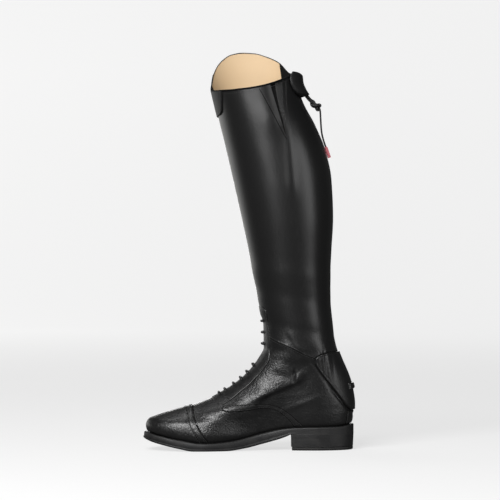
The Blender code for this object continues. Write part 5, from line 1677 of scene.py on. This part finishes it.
sole = {
    "columns": 220,
    "profile": ((0.0, 1.6), (0.02, 0.9), (0.06, 0.35), (0.10, 0.1), (0.22, 0.0), (0.26, 0.25), (0.285, 0.9),
                (0.31, 1.15), (0.36, 1.0), (0.60, 1.05), (0.82, 1.15), (0.90, 1.5), (0.96, 2.1), (1.0, 2.9)),
    "heelFade": (30.0, 60.0),  # the stepped side runs out towards the heel
    "heelBreast": 53.7, "heelTop": 20.5, "setBack": 0.8, "taper": 0.6,
    "ribs": 9, "ribDepth": 0.10,
    "liftProfile": ((0.0, 3.0), (0.12, 2.2), (0.4, 1.7), (0.9, 1.35), (1.6, 1.2), (3.0, 1.12), (3.7, 1.14),
                    (3.92, 1.3), (4.0, 1.6)),  # heights and set-backs
}


def soleOutline(phi, setBack):
    first, last = boot["soleEnds"]
    share = (1.0 - np.cos(phi)) / 2.0
    x = last - (last - first) * share
    spans = np.array(spanFactors(boot["solePlan"], last - first))
    heights = np.broadcast_to(spans, (*np.shape(phi), 6))
    y = spanAcross(heights, np.arccos(np.clip(np.cos(phi), -1.0, 1.0))) * np.sin(phi) + throughPoints(boot["bend"], x)
    ahead = np.stack((np.gradient(x), np.gradient(y)), axis=-1)
    ahead /= np.linalg.norm(ahead, axis=-1, keepdims=True)
    inward = np.stack((-ahead[:, 1], ahead[:, 0]), axis=-1)
    return np.stack((x, y), axis=-1) + inward * np.asarray(setBack)[..., None]


def acrossStrip(edge, curve):  # a face spanned between both halves of a closed outline, at a curve's heights
    half = len(edge) // 2
    one, two = edge[:half + 1], np.concatenate((edge[:1], edge[:half - 1:-1]))
    share = np.linspace(0.0, 1.0, 11)
    flat = one[:, None] + (two - one)[:, None] * share[None, :, None]
    return np.concatenate((flat, throughPoints(curve, flat[..., 0])[..., None]), axis=-1)


def makeOutsole():
    count = sole["columns"]
    phi = np.linspace(0.0, 2.0 * math.pi, count + 1)
    rows, (first, last) = [], sole["heelFade"]
    fade = np.clip((soleOutline(phi, np.zeros(count + 1))[:, 0] - first) / (last - first), 0.0, 1.0)
    for share, setBack in sole["profile"]:
        plain = 0.35 if share < 0.95 else setBack * 0.45
        place = soleOutline(phi, setBack + (plain - setBack) * fade)[:-1]
        low, high = throughPoints(boot["soleBottom"], place[:, 0]), throughPoints(boot["soleTop"], place[:, 0])
        rows.append(np.column_stack((place, low + (high - low) * share)))
    grid = np.array(rows)
    points, faces, start = [grid.reshape(-1, 3)], [gridFaces(len(rows), count, 0, True)], grid.size // 3
    kinds = [np.zeros(len(faces[0]))]
    for edge, key, flip, kind in ((grid[0], "soleBottom", True, 1), (grid[-1], "soleTop", False, 0)):
        cap = acrossStrip(edge[:, :2], boot[key])
        quads = gridFaces(cap.shape[0], cap.shape[1], start)
        points.append(cap.reshape(-1, 3))
        faces.append(quads if flip else quads[:, ::-1])
        kinds.append(np.full(len(quads), kind))
        start += cap.size // 3
    item = addPiece("outsoleRubber", np.vstack(points), np.vstack(faces), ["moulded", "treadRubber"], ("outsole",),
                    np.concatenate(kinds), sharp=50.0, weld=True)
    rework(item.data, turnOut)


def heelOutline(setBack):
    turn, (toe, heel) = np.linspace(-1.0, 1.0, 161), boot["soleEnds"]
    reach = math.acos(1.0 - 2.0 * (heel - sole["heelBreast"] - 1.0) / (heel - toe))
    edge = soleOutline(turn * reach, np.full(len(turn), setBack))
    s = np.linspace(1.0, -1.0, 41)[1:-1]
    last, first = edge[-1], edge[0]
    middle, half = (last[1] + first[1]) / 2.0, (last[1] - first[1]) / 2.0
    front = np.column_stack((sole["heelBreast"] + 3.0 * (1.0 - s * s) + setBack * 0.5, middle + half * s))
    return np.vstack((edge, front))


def stackPiece(name, rows, finishes, stands):  # rings from the floor up, closed at both ends
    edges = np.array([heelOutline(setBack) for z, setBack in rows])
    heights = np.broadcast_to(np.array([z for z, setBack in rows])[:, None, None], (*edges.shape[:2], 1))
    grid = np.concatenate((edges, heights), axis=-1)
    item = addPiece(name, grid, barrelFaces(*grid.shape[:2]), finishes, stands, sharp=45.0)
    rework(item.data, turnOut)


def makeHeel():
    low, high = sole["liftProfile"][-1][0] + 0.3, sole["heelTop"]
    rows = [(low - 0.2, sole["setBack"] + 1.1), (low, sole["setBack"] + 0.7)]
    for s in np.linspace(0.03, 1.0, 64):
        rib = sole["ribDepth"] * max(0.0, math.cos(2.0 * math.pi * s * sole["ribs"])) ** 6
        rows.append((low + (high - low) * s, sole["setBack"] + sole["taper"] * (1.0 - s) * 0.5 - 0.45 * s + rib))
    stackPiece("heelStackRubber", rows, ["heelStack"], ("heel_block",))
    stackPiece("heelLiftRubber", sole["liftProfile"], ["liftRubber"], ("heel_lift",))


makeOutsole()
makeHeel()
# all painted shadow strips as one piece, with the dark shade finish
points, faces = joinGrids(groovesAndShade["grids"])
addPiece("seamGrooves", points, faces, ["deepShade"])
addPiece("seamStitches", np.vstack(stitches["points"]), stitches["faces"], ["seamThread"])
print("sole and heel are under,", stitches["count"], "stitches")
